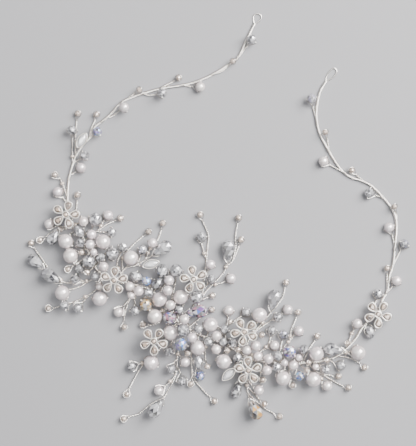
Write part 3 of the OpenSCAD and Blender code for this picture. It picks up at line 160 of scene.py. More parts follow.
MIDDLE_PIECES = (
    ("q", -22.7, -19.9, ((-21.1, -18.1), (-21.4, -18.6))),
    ("p", -20.4, -19.8, ((-22.6, -17.7), (-22, -18.2))),
    ("O", -21.9, -16, ((-19.2, -18.7), (-19.4, -16.5))),
    ("c", -18.9, -16.9, ((-17.4, -19.5), (-17.8, -18.7))),
    ("O", -16.4, -17.4, ((-18.1, -19.1), (-17.9, -19))),
    ("C", -14.4, -14.3, ((-17, -19.9), (-15.8, -16.6))),
    ("p", -13.2, -16.4, ((-15.9, -21), (-14.4, -18.1))),
    ("p", -13.5, -18.7, ((-15.5, -21.4), (-14.9, -20.4))),
    ("C", -10.7, -14.9, ((-13, -24.5), (-12, -20), (-11.4, -17.3))),
    ("p", -26.2, -25.1, ((-22, -17.9), (-22.9, -20.8), (-24.9, -23.4))),
    ("s", -24.8, -29, ((-22.7, -20.3), (-23.9, -23), (-24.8, -26), (-24.9, -27.3))),
    ("c", -21.7, -24.6, ((-22.5, -19.6), (-22, -22.6))),
    ("c", -18.2, -20.8, ((-20.1, -18.5), (-19.5, -19))),
    ("C", -18.9, -23, ((-16, -21), (-16.8, -21.2))),
    ("P", -15.3, -21.3, ((-12.9, -24.7), (-13.7, -23.5))),
    ("p", -12.8, -22.9, ((-11.4, -26.7), (-11.9, -24.9))),
    ("P", -17, -25.8, ((-13.3, -24.2), (-14.6, -24.6))),
    ("s", -19.8, -28.4, ((-13.8, -23.6), (-15.5, -27.5), (-18, -28.6))),
    ("P", -9.6, -20.9, ((-11, -27.3), (-9.6, -23.6))),
    ("C", -12.8, -26.6, ((-9.8, -28.3), (-10.3, -27.9))),
    ("c", -10.9, -24, ((-12, -26), (-11.8, -25.8))),
    ("C", -6.1, -20.8, ((-9.5, -28.6), (-7.4, -25), (-6.6, -23.2))),
    ("D", -8.3, -25, ((-11.5, -26.6), (-9.9, -25.5))),
    ("p", -8.9, -27, ((-7.2, -30), (-7.7, -28.7))),
    ("C", -10.2, -29.4, ((-12.2, -25.6), (-11.7, -27.2))),
    ("P", -13.3, -30, ((-10, -28.2), (-11.3, -28.3))),
    ("s", -4.9, 0.3, ((-9, -28.8), (-4.9, -22), (-3.6, -14), (-3, -8), (-2.8, -5), (-4.3, -1.3))),
    ("c", -4.6, -5.4, ((-3.5, -11), (-4.6, -7.5))),
    ("p", -2.2, -12.6, ((-3.7, -15.6), (-3, -14.5))),
    ("c", -2.2, -16.3, ((-4.4, -19.3), (-3.1, -18.1))),
    ("s", -1.7, -20.8, ((-4.9, -22), (-3.3, -21.3))),
    ("D", 2.3, -10.7, ((-4.9, -22), (-3.5, -19.8), (1.1, -14.9), (2.2, -12.3))),
    ("p", 3.15, -16.3, ((-1.8, -18), (0.3, -17.6), (1.3, -17.2))),
    ("s", 5.75, -6.2, ((2, -13), (3.5, -11.8), (5.2, -7.8))),
    ("s", 5.1, -0.5, ((3.5, -11.8), (4.3, -8.2), (4.3, -5), (4.8, -2.1))),
    ("s", -1.9, -24.5, ((-8.2, -29.4), (-5.5, -27.1), (-3.2, -25.6))),
    ("P", -17.6, -38.1, ((-10.4, -27.9), (-13, -31.2), (-16.3, -35.9))),
    ("c", -22.8, -39.3, ((-16, -35.5), (-19.3, -38.2), (-20.9, -38.6))),
    ("s", -24.1, -46.6, ((-19.3, -38.2), (-21.2, -40.8), (-23.6, -45.2))),
    ("C", -9.8, -32.6, ((-8.7, -29.1), (-9.1, -30))),
    ("p", -7, -31.6, ((-5, -31), (-5.2, -31))),
    ("P", -5.5, -34, ((-2.5, -32.1), (-3.4, -32.4))),
    ("c", -5.4, -29.4, ((-7.5, -29.9), (-7.2, -30))),
    ("c", -13.1, -35.3, ((-12, -30.2), (-12.4, -33.3))),
    ("D", -15.3, -48.7, ((-8, -29.6), (-10.5, -34.5), (-11.4, -41.6), (-14.2, -47.3))),
    ("c", -12.4, -39.9, ((-10.9, -37), (-11.5, -38))),
    ("p", -15.7, -45.6, ((-11.4, -41.6), (-12.8, -43.3), (-14, -44.4))),
    ("s", -24.9, -53, ((-14.2, -47.3), (-17.7, -49.1), (-21, -51.7), (-23.3, -52.4))),
    ("p", -8.8, -38.1, ((-10.7, -35.6), (-10.2, -36.5))),
    ("s", -8.2, -35.7, ((-10.2, -33.9), (-9.6, -34.6))),
    ("c", -9.7, -43.1, ((-11.1, -38.5), (-10.2, -41))),
    ("s", -7.4, -43.9, ((-7.1, -30.1), (-7.3, -36.5), (-7.1, -42.1))),
    ("c", -4.9, -41.7, ((-7.3, -37), (-6, -39.8))),
    ("s", -1.2, -48.4, ((-7.1, -39.7), (-6.5, -42.6), (-3.7, -46.1), (-2.3, -47.3))),
    ("O", -5.3, -37.2, ((-5.6, -30.7), (-5.4, -34.7))),
    ("s", -3.1, -39, ((-3.2, -31.7), (-3.6, -35.1), (-3.5, -37.4))),
    ("P", -1.9, -28.9, ((-3.4, -31.6), (-3.1, -31.2))),
    ("c", -2.6, -32.5, ((-4.7, -31.1), (-4.5, -31.3))),
    ("p", -0.1, -31.4, ((1.3, -33.6), (1.1, -33.2))),
    ("p", -0.6, -34.5, ((1.5, -33.7), (1.3, -33.8))),
    ("c", 1.4, -29.6, ((0.2, -33.2), (0.8, -31.5))),
    ("c", 1.5, -32.3, ((3.3, -34.4), (2.9, -33.9))),
    ("c", 3.8, -32.3, ((2.1, -33.9), (2.4, -33.7))),
    ("s", 2.1, -35, ((3.8, -34.8), (3.6, -34.9))),
    ("s", 4.6, -34.4, ((6.1, -36.1), (5.7, -35.7))),
    ("c", 5, -36.7, ((7.1, -36.6), (6.8, -36.7))),
    ("p", 7.2, -34.9, ((5.2, -35.7), (5.4, -35.8))),
    ("P", 1.2, -37.7, ((1.9, -33.9), (1.5, -35.1))),
    ("p", 2.6, -24.6, ((1.4, -33.6), (1.9, -29), (2.4, -26.6))),
    ("s", 2.8, -27.6, ((1.6, -31), (2.1, -29.2))),
    ("c", 7.2, -25, ((1.9, -29), (4.5, -27.1), (5.6, -26.3))),
    ("P", 10.3, -26, ((6.2, -36.2), (8.4, -31), (9.7, -28.6))),
    ("D", 13.8, -23.5, ((8.4, -31), (12.2, -27), (13.4, -25.2))),
    ("s", 17.5, -17.4, ((13, -25.9), (15.3, -23.2), (16.7, -21), (17.2, -19))),
    ("p", 18, -24.4, ((8.2, -31.4), (10.4, -29.5), (16.3, -25.6))),
    ("c", 15.4, -26.3, ((12.2, -28.4), (13.5, -27.4))),
    ("s", 11.1, -31, ((9, -30.7), (9.4, -30.8))),
    ("c", 13.7, -29.8, ((7.6, -36.8), (11.5, -35), (12.9, -33.4), (13.5, -31.8))),
    ("p", 9.3, -33.6, ((7.1, -36.6), (8.1, -35.2))),
    ("p", 14.5, -33.8, ((11.5, -35), (12.7, -34.7))),
    ("D", 5.4, -43.4, ((5.4, -35.8), (6, -38.5), (5.7, -41.6))),
    ("F", -6.6, -16.4, ((-11, -27.2), (-9, -22.5), (-7.4, -18.2)), 28),
    ("F", -16.9, -32.4, ((-10.2, -28.1), (-13, -31.2), (-15.2, -31.8)), -16),
    ("F", 6.5, -30, ((4.8, -35.4), (5.8, -31.8)), -28),
    ("N", 2.5, -41.2, ((5.2, -35.7), (4.9, -37.6), (3.7, -39.7)), 42),
)
RIGHT_PIECES = (
    ("s", 11.2, -42.7, ((9.2, -37.5), (10.4, -39.6), (10.9, -41.1))),
    ("p", 12.5, -40, ((11.6, -38), (11.7, -38.2))),
    ("p", 10.4, -45.4, ((9, -37.4), (7.9, -40), (7.4, -42.3), (8.6, -44.2))),
    ("D", 8.5, -48.8, ((7.4, -42.3), (7.3, -45), (7.8, -47.4))),
    ("s", 11.8, -49, ((7.3, -44.5), (10.6, -48))),
    ("s", 15.8, -52.4, ((7.6, -46.3), (9.65, -48.4), (11.9, -50.3), (14.3, -51.6))),
    ("p", 10.5, -37, ((12.6, -38.1), (12.2, -37.8))),
    ("p", 13, -36.9, ((14.8, -38.1), (14.6, -37.9))),
    ("c", 15, -36.4, ((16.8, -38.3), (16.4, -37.9))),
    ("q", 16.8, -38.3, ((15.1, -38.2), (15.3, -38.2))),
    ("c", 15.2, -39.6, ((17.3, -38.3), (17.1, -38.5))),
    ("P", 16.4, -41.8, ((17.9, -38.4), (17.5, -39.3))),
    ("C", 18, -35.4, ((16, -38.2), (16.4, -37.5))),
    ("c", 16.8, -30.9, ((15, -38.1), (16, -34.9), (16.4, -32.9))),
    ("p", 20.9, -30, ((16, -34.9), (18.5, -32.6), (19.5, -31.3))),
    ("s", 20.6, -25.2, ((18.5, -32.6), (18.9, -29.8), (20.2, -26.7))),
    ("c", 22.1, -34.7, ((21.5, -38.5), (21.9, -36.7))),
    ("q", 20.8, -36.9, ((19.6, -38.5), (19.8, -38.3))),
    ("s", 25.6, -31.4, ((22, -38.5), (23.7, -34.6), (24.9, -32.9))),
    ("P", 25.5, -35.9, ((27.9, -37.7), (27.6, -37.4))),
    ("D", 31.1, -35.1, ((33.4, -34.6), (33.1, -35.3))),
    ("s", 33.4, -33.2, ((35, -32.9), (34.7, -33.1))),
    ("P", 36.3, -35.6, ((32.6, -35.3), (33.7, -36))),
    ("p", 36, -28, ((33.7, -34.3), (34.3, -31.8), (35.1, -30))),
    ("s", 38, -39.6, ((31, -36.6), (34.2, -37.2), (36.9, -38.5))),
    ("c", 31.9, -39.1, ((28.5, -37.6), (30.1, -38.4))),
    ("s", 28.1, -37.7, ((29.9, -37.1), (29.7, -37.2))),
    ("c", 27.8, -39.9, ((25.6, -38.1), (26.2, -38.6))),
    ("q", 25.2, -39.3, ((26.9, -37.9), (26.5, -38.3))),
    ("s", 23.3, -38.3, ((25, -38.2), (24.9, -38.3))),
    ("s", 22.6, -40.1, ((21, -38.5), (21.3, -38.9))),
    ("p", 19.4, -38.9, ((17.3, -38.4), (17.5, -38.6))),
    ("c", 21.4, -41.4, ((19.6, -38.5), (20.2, -39.9))),
    ("P", 24.4, -42.4, ((22.7, -38.4), (23.3, -39.9))),
    ("s", 19.2, -44.2, ((18.2, -38.4), (18.4, -41), (18.9, -42.6))),
    ("s", 31.2, -41.9, ((23.4, -38.4), (25.6, -40.8), (29.6, -41.8))),
    ("p", 28.3, -44.4, ((25.6, -40.8), (26.9, -42.9))),
    ("s", 33.8, -44.9, ((26.3, -41), (31.2, -43.9), (32.4, -44.4))),
    ("O", 39.4, -30.3, ((38.6, -28), (38.8, -28.1))),
    ("c", 41.6, -20.2, ((41.8, -24.4), (40.8, -23.4), (41.1, -22.2))),
    ("s", 43.9, -13.7, ((44, -19.6), (43.9, -15.5))),
    ("p", 46.4, -16.9, ((43.6, -20.3), (45.3, -18.6))),
    ("c", 48.4, -7.3, ((45.4, -13), (47.4, -9.2))),
    ("p", 44.4, -3, ((46, -8), (45.3, -5))),
    ("s", 45.7, 2.4, ((46.5, -2.5), (46.4, 0.6))),
    ("c", 39.2, 6, ((42.8, 4.8), (41.2, 5.3))),
    ("s", 34.7, 11.9, ((38.5, 8.7), (36, 10.7))),
    ("p", 27.3, 14.3, ((33, 11.2), (29.1, 13.4))),
    ("s", 27.7, 21.8, ((28.8, 16.8), (28.4, 20))),
    ("c", 24.1, 30.6, ((25.5, 24.8), (24.6, 28.4))),
    ("F", 7.5, -40.1, ((8.8, -37.3), (8.2, -38.4)), 20),
    ("F", 41.3, -25.6, ((42.5, -22.7), (41.9, -24)), -16),
)

# Seed beads threaded on the stalks
SEEDS = (
    (-38, 15.6), (-39.4, 9.1), (-41.2, -3.8), (-37.4, -2.2), (-31.3, -2.4), (-28.4, -14.2), (-34.5, -16.4),
    (-40.9, -16.5), (-35, -21.1), (-25.1, -11), (-18, -9.9), (-18.6, -9.5), (-21.2, -18.1), (-22.5, -21.3),
    (-15.2, -24), (-3.6, -9.5), (-0.96, -17.9), (1.9, -13.3), (-20.2, -38.1), (-11.1, -36.2),
    (-12.75, -43.4), (-3.4, -34.2), (11.4, -27.9), (12.35, -34.5), (9, -36.85), (7.6, -44.4), (18.1, -31.4),
    (17.9, -32.7), (33.2, -35.75), (36.6, -31.7), (27.05, -42.2),
)

# Crystals with a coat that flashes in one colour, by place
FLASHES = {
    "blue": ((-31.7, 22), (-18.9, -16.9), (-9.8, -32.6), (-4.9, -41.7), (21.4, -41.4)),
    "amber": ((-18.9, -23), (8.5, -48.8)),
    "violet": ((-12.8, -26.6), (18, -35.4), (-8.3, -25)),
    "smoke": ((-19.9, -8.8), (16.8, -30.9), (48.4, -7.3), (-1.9, -24.5)),
    "lilac": ((24.1, 30.6),),
}

DROP_LENGTH = 7.8 * MM
DROP_WIDTH = 5.4 * MM
# From a drop's narrow end to its hole, as a share of its length
DROP_HOLE = 0.13
OVAL_LENGTH = 5.4 * MM
OVAL_WIDTH = 4 * MM
# Rows of the long beads: place along the bead and half width, in shares of its length and width
DROP_ROWS = ((-0.13, 0.24), (-0.11, 0.38), (0.1, 0.66), (0.36, 0.96), (0.58, 1.0), (0.77, 0.8), (0.87, 0.35))
OVAL_ROWS = ((-0.49, 0.32), (-0.36, 0.72), (-0.12, 1.0), (0.12, 1.0), (0.36, 0.72), (0.49, 0.32))
# A tip crystal's radius as a share of its size with the wire ring round it
TIP_SHARE = 0.38
# Half the height of a flower's head, and of a pointed setting's
FLOWER_HALF_HEIGHT = 1.1 * MM
POINTED_HALF_HEIGHT = 0.8 * MM
# Between the stem and the foot of a setting's post
POST_GAP = 0.15 * MM
# Radius of the end loops' wire, and the height that it lies at
LOOP_R = 0.27 * MM
LOOP_HEIGHT = 0.3 * MM
# The fine wire wound round the stem: its radius, turns and places along its line, and the coil's height and radius
COIL_R = 0.13 * MM
COIL_TURNS = 6
COIL_PLACES = 40
COIL_HEIGHT = 0.62 * MM
COIL_ROUND = 0.49 * MM
# Windings to the left of this place belong to the left wire
JOIN = 8
# Steps between the places of a stalk's line, and of a strand where it bends round a bead
LINE_STEP = 0.25 * MM
STRAND_STEP = 0.3 * MM
# From a bead to the place where its two strands meet, and from there to the first place of their route
APEX = 1.1 * MM
CLEAR_OF_APEX = 0.5 * MM
# Half the length of the hump where a seed bead lifts its stalk, in steps of the line
HUMP = 12
# Facets smaller than these are bevelled edges, and stay white as painted highlights: of a bead, a drop and a
# flat-backed stone
HIGHLIT_EDGE = 0.05 * MM * MM
HIGHLIT_DROP_EDGE = 0.06 * MM * MM
HIGHLIT_STONE_EDGE = 0.04 * MM * MM
# Each facet draws a number from 0 to 1 for the painted reflection in its colour. Below the first of these it
# flashes, on a coated crystal. Up to the second it is grey, up to the third dark, and above that it stays white.
FLASHING = 0.45
GREY = 0.64
DARK = 0.74
# A petal begins this far from the flower's middle, in shares of the middle cup's diameter
PETAL_START = 0.42
# A stone's gap to its cup's wall, the height of its back over the plate, and of its table over the rim
STONE_GAP = 0.02 * MM
STONE_BACK = 0.1 * MM
STONE_RISE = 0.7 * MM
# From a petal's middle out to that of its stone's crown
CROWN_OUT = 0.2 * MM
# Bevels of the facets, the cups' rims and the posts
FACET_EDGE = 0.04 * MM
DROP_EDGE = 0.05 * MM
CUP_RIM = 0.14 * MM
POST_RIM = 0.15 * MM
# The two steps of a stone's crown: how much it narrows, to half in all, and the share of its height
CROWN_STEPS = ((0.8, 0.55), (0.5 / 0.8, 0.45))
SIDES = ("left", "middle", "right")
TABLES = {"left": LEFT_PIECES, "middle": MIDDLE_PIECES, "right": RIGHT_PIECES}
SINGLE_NODES = {"P": "large_pearl_{}", "D": "drop_crystal_{}", "F": "flower_{}", "N": "navette_setting_{}"}
GROUP_NODES = {
    "small_pearls_{}": "pq", "large_crystals_{}": "C", "small_crystals_{}": "c", "tip_crystals_{}": "s",
    "oval_crystals": "O",
}


class VineWireSizes(bpy.types.PropertyGroup):
    """Sizes of the wire, as it is twisted"""
    vine_width: bpy.props.FloatProperty(
        name="Vine width", description="Width of the vine as it lies",
        default=154 * MM, min=0.1, max=0.2, subtype="DISTANCE", unit="LENGTH", precision=4)
    strand: bpy.props.FloatProperty(
        name="Strand", description="Thickness of one strand",
        default=0.4 * MM, min=0.0002, max=0.0006, subtype="DISTANCE", unit="LENGTH", precision=5)
    stem: bpy.props.FloatProperty(
        name="Stem", description="Thickness of the stem, where the strands of all stalks run together",
        default=1.1 * MM, min=0.0008, max=0.0014, subtype="DISTANCE", unit="LENGTH", precision=5)
    stem_strands: bpy.props.IntProperty(
        name="Stem strands", description="Strands that show round the stem", default=5, min=2, max=8)
    stem_turn: bpy.props.FloatProperty(
        name="Stem turn", description="Length of one turn of the stem's twist",
        default=4.2 * MM, min=0.002, max=0.01, subtype="DISTANCE", unit="LENGTH", precision=5)
    pair_turn: bpy.props.FloatProperty(
        name="Stalk turn", description="Length of one turn of a stalk's two strands",
        default=2 * MM, min=0.001, max=0.005, subtype="DISTANCE", unit="LENGTH", precision=5)
    gap: bpy.props.FloatProperty(
        name="Gap", description="Gap between a strand and the bead that it goes round",
        default=0.03 * MM, min=0, max=0.0003, subtype="DISTANCE", unit="LENGTH", precision=5)


class VineBeadSizes(bpy.types.PropertyGroup):
    """Sizes of the beads and stones"""
    large_pearl: bpy.props.FloatProperty(
        name="Large pearl", description="Diameter of a large pearl",
        default=6 * MM, min=0.004, max=0.008, subtype="DISTANCE", unit="LENGTH", precision=4)
    small_pearl: bpy.props.FloatProperty(
        name="Small pearl", description="Diameter of a small pearl",
        default=4 * MM, min=0.003, max=0.005, subtype="DISTANCE", unit="LENGTH", precision=4)
    mini_pearl: bpy.props.FloatProperty(
        name="Mini pearl", description="Diameter of a mini pearl",
        default=2.9 * MM, min=0.002, max=0.004, subtype="DISTANCE", unit="LENGTH", precision=4)
    large_crystal: bpy.props.FloatProperty(
        name="Large crystal", description="Diameter of a large cut crystal",
        default=5.5 * MM, min=0.004, max=0.007, subtype="DISTANCE", unit="LENGTH", precision=4)
    small_crystal: bpy.props.FloatProperty(
        name="Small crystal", description="Diameter of a small cut crystal",
        default=4 * MM, min=0.003, max=0.005, subtype="DISTANCE", unit="LENGTH", precision=4)
    tip_crystal: bpy.props.FloatProperty(
        name="Tip crystal", description="Diameter of a cut crystal at the tip of a stalk, its wire loop included",
        default=3.1 * MM, min=0.002, max=0.004, subtype="DISTANCE", unit="LENGTH", precision=4)
    seed: bpy.props.FloatProperty(
        name="Seed bead", description="Diameter of a seed bead threaded on a stalk",
        default=1.9 * MM, min=0.001, max=0.0025, subtype="DISTANCE", unit="LENGTH", precision=4)
    bead_hole: bpy.props.FloatProperty(
        name="Hole", description="Diameter of the hole through a bead",
        default=0.6 * MM, min=0.0003, max=0.001, subtype="DISTANCE", unit="LENGTH", precision=5)


class VineSettingSizes(bpy.types.PropertyGroup):
    """Sizes of the flowers and the pointed settings"""
    flower: bpy.props.FloatProperty(
        name="Flower", description="Diameter of a flower across its petals",
        default=11.4 * MM, min=0.008, max=0.015, subtype="DISTANCE", unit="LENGTH", precision=4)
    petal_width: bpy.props.FloatProperty(
        name="Petal width", description="Width of a petal's cup",
        default=3.5 * MM, min=0.002, max=0.005, subtype="DISTANCE", unit="LENGTH", precision=4)
    centre: bpy.props.FloatProperty(
        name="Flower centre", description="Diameter of the cup in the middle of a flower",
        default=3 * MM, min=0.002, max=0.004, subtype="DISTANCE", unit="LENGTH", precision=4)
    navette_length: bpy.props.FloatProperty(
        name="Pointed setting's length", description="Length of a pointed setting",
        default=7.2 * MM, min=0.005, max=0.01, subtype="DISTANCE", unit="LENGTH", precision=4)
    navette_width: bpy.props.FloatProperty(
        name="Pointed setting's width", description="Width of a pointed setting",
        default=4 * MM, min=0.003, max=0.006, subtype="DISTANCE", unit="LENGTH", precision=4)
    wall: bpy.props.FloatProperty(
        name="Wall", description="Wall of a stone's cup, with its rounded rim",
        default=0.48 * MM, min=0.0002, max=0.0008, subtype="DISTANCE", unit="LENGTH", precision=5)
    plate: bpy.props.FloatProperty(
        name="Plate", description="Thickness of the plate under the cups",
        default=0.6 * MM, min=0.0004, max=0.001, subtype="DISTANCE", unit="LENGTH", precision=5)
    depth: bpy.props.FloatProperty(
        name="Cup depth", description="Depth of a stone's cup",
        default=1 * MM, min=0.0006, max=0.0015, subtype="DISTANCE", unit="LENGTH", precision=5)
    post: bpy.props.FloatProperty(
        name="Post", description="Diameter of the post under a flower",
        default=1.8 * MM, min=0.001, max=0.0025, subtype="DISTANCE", unit="LENGTH", precision=5)


class VineColours(bpy.types.PropertyGroup):
    """Colours of the finishes"""
    wire: bpy.props.FloatVectorProperty(
        name="Wire", description="Bright silver-plated wire, a little warm",
        default=(0.88, 0.84, 0.79), min=0, max=1, subtype="COLOR")
    setting: bpy.props.FloatVectorProperty(
        name="Setting", description="Polished plating of the flowers",
        default=(0.74, 0.7, 0.65), min=0, max=1, subtype="COLOR")
    pearl: bpy.props.FloatVectorProperty(
        name="Pearl", description="Body colour of the pearls",
        default=(0.97, 0.93, 0.92), min=0, max=1, subtype="COLOR")
    pearl_blush: bpy.props.FloatVectorProperty(
        name="Pearl blush", description="Rosy clouds in the pearls' lustre",
        default=(0.86, 0.74, 0.75), min=0, max=1, subtype="COLOR")
    # Painted shade: the pearls turn to this greyer mauve where their surface turns away from the view
    pearl_edge: bpy.props.FloatVectorProperty(
        name="Pearl edge", description="Greyer, mauve tone of a pearl towards its outline",
        default=(0.42, 0.32, 0.35), min=0, max=1, subtype="COLOR")
    champagne: bpy.props.FloatVectorProperty(
        name="Champagne", description="Warm glass of the crystals at the tips and of the seed beads",
        default=(0.92, 0.8, 0.7), min=0, max=1, subtype="COLOR")
    petal_stone: bpy.props.FloatVectorProperty(
        name="Petal stone", description="Foiled stones of the flowers",
        default=(0.78, 0.68, 0.6), min=0, max=1, subtype="COLOR")
    floor: bpy.props.FloatVectorProperty(
        name="Floor", description="Plain pale floor",
        default=(0.3, 0.3, 0.31), min=0, max=1, subtype="COLOR")


# Colours that the coated facets flash in, painted into the facets as reflections; the foil's are painted
# reflections of a foil backing
FLASH_COLOURS = {
    "blue": ((0.12, 0.3, 0.9), (0.25, 0.65, 1), (0.35, 0.28, 0.62)),
    "amber": ((0.85, 0.45, 0.12), (0.8, 0.62, 0.32), (0.32, 0.3, 0.28)),
    "violet": ((0.36, 0.18, 0.5), (0.72, 0.36, 0.44), (0.16, 0.28, 0.85)),
    "smoke": ((0.25, 0.25, 0.28), (0.4, 0.4, 0.42), (0.3, 0.3, 0.45)),
    "lilac": ((0.7, 0.66, 0.82), (0.55, 0.52, 0.68), (0.85, 0.8, 0.95)),
    "foil": ((0.3, 0.24, 0.2), (0.5, 0.41, 0.34), (0.7, 0.6, 0.52)),
}


def wire_sizes():
    """The sizes of the wire, from the panel."""
    return bpy.context.scene.vine_wire


def bead_sizes():
    """The sizes of the beads and stones, from the panel."""
    return bpy.context.scene.vine_beads


def setting_sizes():
    """The sizes of the flowers and the pointed settings, from the panel."""
    return bpy.context.scene.vine_settings


def vine_colours():
    """The colours of the finishes, from the panel."""
    return bpy.context.scene.vine_colours


def at(place):
    """A place of the tables as a point on the surface."""
    return (Vector(place) - MIDDLE).to_3d() * SHARE * wire_sizes().vine_width


def loose_solids(node):
    """The corner points of each loose solid of a CAD node."""
    mesh = bmesh.new()
    mesh.from_mesh(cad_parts[node].data)
    bmesh.ops.remove_doubles(mesh, verts=mesh.verts, dist=0.001 * MM)
    mesh.verts.index_update()
    seen = set()
    solids = []
    for first in mesh.verts:
        if first.index in seen:
            continue
        seen.add(first.index)
        found = [first]
        for vert in found:
            for edge in vert.link_edges:
                other = edge.other_vert(vert)
                if other.index not in seen:
                    seen.add(other.index)
                    found.append(other)
        solids.append([vert.co.copy() for vert in found])
    mesh.free()
    return solids


def box_middle(points):
    """The middle of the box round the points."""
    low = Vector([min(p[k] for p in points) for k in range(3)])
    high = Vector([max(p[k] for p in points) for k in range(3)])
    return (low + high) / 2


class Piece:
    """A bead or flower of the vine: its row in the tables, with the place that its CAD solid has.

    Its middle is where the wire holds it: in its hole, or on the post of a setting.
    """

    def __init__(self, number, side, row, node, points):
        self.number = number
        self.side = side
        self.kind = row[0]
        self.read_at = Vector(row[1:3])
        self.route = [at(p) for p in row[3]]
        self.turn = math.radians(row[4]) if len(row) > 4 else 0
        self.node = node
        self.middle = box_middle(points)
        self.share = 1
        lift = UP * wire_sizes().stem / 2
        if self.kind in "FN":
            self.middle = at(self.read_at)
            self.top = max(p.z for p in points)
            self.middle.z = wire_sizes().stem + POST_GAP + setting_sizes().post / 2
        if self.kind == "D":
            mean = sum(points, Vector()) / len(points)
            away = mean - self.route[-1]
            away.z = 0
            away.normalize()
            along = [(p - mean).dot(away) for p in points]
            self.length = max(along) - min(along)
            self.share = self.length / DROP_LENGTH
            self.middle = mean + away * (min(along) + DROP_HOLE * self.length)
            self.to_stem = -away
        else:
            self.to_stem = self.route[-1] + lift - self.middle
            if self.kind in "FN":
                self.to_stem.z = 0
            self.to_stem.normalize()
        self.away = -self.to_stem
        self.across = UP.cross(self.to_stem).normalized()
        self.route = [p + lift for p in self.route]
        self.radius_across = TIP_SHARE * bead_sizes().tip_crystal if self.kind == "s" else self.radius()
        self.radius_along = OVAL_LENGTH / 2 if self.kind == "O" else self.radius_across

    def balls(self):
        """The round forms that it takes up, as middles and radii."""
        setting = setting_sizes()
        plan = Vector((self.away.x, self.away.y, 0)).normalized()
        if self.kind == "D":
            length, r = DROP_LENGTH * self.share, DROP_WIDTH / 2 * self.share
            return [(self.middle + plan * length * k, r * size) for k, size in ((0, 0.53), (0.3, 0.86), (0.54, 1))]
        if self.kind == "O":
            half = (OVAL_LENGTH - OVAL_WIDTH) / 2
            return [(self.middle + plan * half * k, OVAL_WIDTH / 2) for k in (-1, 1)]
        if self.kind == "F":
            level = UP * (self.top - self.middle.z - FLOWER_HALF_HEIGHT)
            out = (setting.flower - setting.petal_width) / 2
            found = [(self.middle, setting.post / 2), (self.middle + level, setting.centre / 2)]
            for k in range(5):
                spoke = Matrix.Rotation(self.turn + math.tau * k / 5, 3, "Z") @ Vector((1, 0, 0))
                found.append((self.middle + level + spoke * out, setting.petal_width * 0.53))
                found.append((self.middle + level + spoke * out * 0.6, setting.petal_width * 0.4))
            return found
        if self.kind == "N":
            level = UP * (self.top - self.middle.z - POINTED_HALF_HEIGHT)
            spoke = Matrix.Rotation(self.turn, 3, "Z") @ Vector((1, 0, 0))
            step = setting.navette_length * 0.28
            return [(self.middle, setting.post / 2)] + [
                (self.middle + level + spoke * step * k, setting.navette_width * size)
                for k, size in ((-1, 0.36), (0, 0.5), (1, 0.36))]
        return [(self.middle, self.radius())]

    def radius(self):
        """Half its width, at the hole in a drop and at the post in a setting."""
        beads, post = bead_sizes(), setting_sizes().post
        return {
            "P": beads.large_pearl, "p": beads.small_pearl, "q": beads.mini_pearl,
            "C": beads.large_crystal, "c": beads.small_crystal, "s": beads.tip_crystal,
            "D": 0.48 * DROP_WIDTH * self.share, "O": OVAL_WIDTH, "F": post, "N": post,
        }[self.kind] / 2


PIECES = []


def read_pieces():
    """Joins each row of the tables to its solid: single nodes by number, grouped ones by the nearest place."""
    PIECES.clear()
    counts = dict.fromkeys(SINGLE_NODES, 0)
    rows = []
    for side in SIDES:
        for row in TABLES[side]:
            node = None
            if row[0] in SINGLE_NODES:
                counts[row[0]] += 1
                node = SINGLE_NODES[row[0]].format(counts[row[0]])
            rows.append((len(rows), side, row, node))
    for number, side, row, node in rows:
        if node:
            PIECES.append(Piece(number, side, row, node, loose_solids(node)[0]))
    for pattern, kinds in GROUP_NODES.items():
        for node in sorted({pattern.format(side) for side in SIDES}):
            of_node = [r for r in rows if r[2][0] in kinds and pattern.format(r[1]) == node]
            solids = loose_solids(node)
            if len(solids) != len(of_node):
                raise RuntimeError(f"{node} has {len(solids)} solids for {len(of_node)} rows")
            pairs = sorted(
                (mismatch(row, points), k, m)
                for k, (_, _, row, _) in enumerate(of_node) for m, points in enumerate(solids))
            for _, k, m in pairs:
                if of_node[k] and solids[m]:
                    number, side, row, _ = of_node[k]
                    PIECES.append(Piece(number, side, row, node, solids[m]))
                    of_node[k] = solids[m] = None
    PIECES.sort(key=lambda piece: piece.number)


def mismatch(row, points):
    """How far a solid lies from a row's place, and from the size of its kind."""
    beads = bead_sizes()
    off = box_middle(points) - at(row[1:3])
    off.z = 0
    width = max(p.z for p in points) - min(p.z for p in points)
    return off.length + {"p": abs(width - beads.small_pearl), "q": abs(width - beads.mini_pearl)}.get(row[0], 0)


def of_kind(kinds):
    """The pieces of some kinds, in the tables' order."""
    return [piece for piece in PIECES if piece.kind in kinds]


# Lines

def smooth_line(points, step):
    """A smooth line through the points, as places about a step apart."""
    line = [points[0].copy()]
    for k, (a, b) in enumerate(zip(points, points[1:])):
        reach = (b - a).length / 3
        out = (b - points[k - 1]).normalized() if k > 0 else (b - a).normalized()
        into = (points[k + 2] - a).normalized() if k + 2 < len(points) else (b - a).normalized()
        count = max(2, round(3 * reach / step) + 1)
        line += interpolate_bezier(a, a + out * reach, b - into * reach, b, count)[1:]
    return line


def even_line(line, step):
    """The same line with its places evenly apart, about a step."""
    lengths = [0]
    for a, b in zip(line, line[1:]):
        lengths.append(lengths[-1] + (b - a).length)
    count = max(2, round(lengths[-1] / step))
    even = []
    k = 0
    for n in range(count + 1):
        wanted = lengths[-1] * n / count
        while k < len(line) - 2 and lengths[k + 1] < wanted:
            k += 1
        stretch = lengths[k + 1] - lengths[k]
        even.append(line[k].lerp(line[k + 1], (wanted - lengths[k]) / stretch if stretch else 0))
    return even


def wound(line, first, offset, turn, phase):
    """A strand that winds round an even line. At the line's start it lies on the side called first."""
    step = (line[1] - line[0]).length
    side = first
    strand = []
    for k, place in enumerate(line):
        ahead = (line[min(k + 1, len(line) - 1)] - line[max(k - 1, 0)]).normalized()
        side = (side - ahead * side.dot(ahead)).normalized()
        angle = phase + math.tau * k * step / turn
        strand.append(place + (side * math.cos(angle) + ahead.cross(side) * math.sin(angle)) * offset)
    return strand


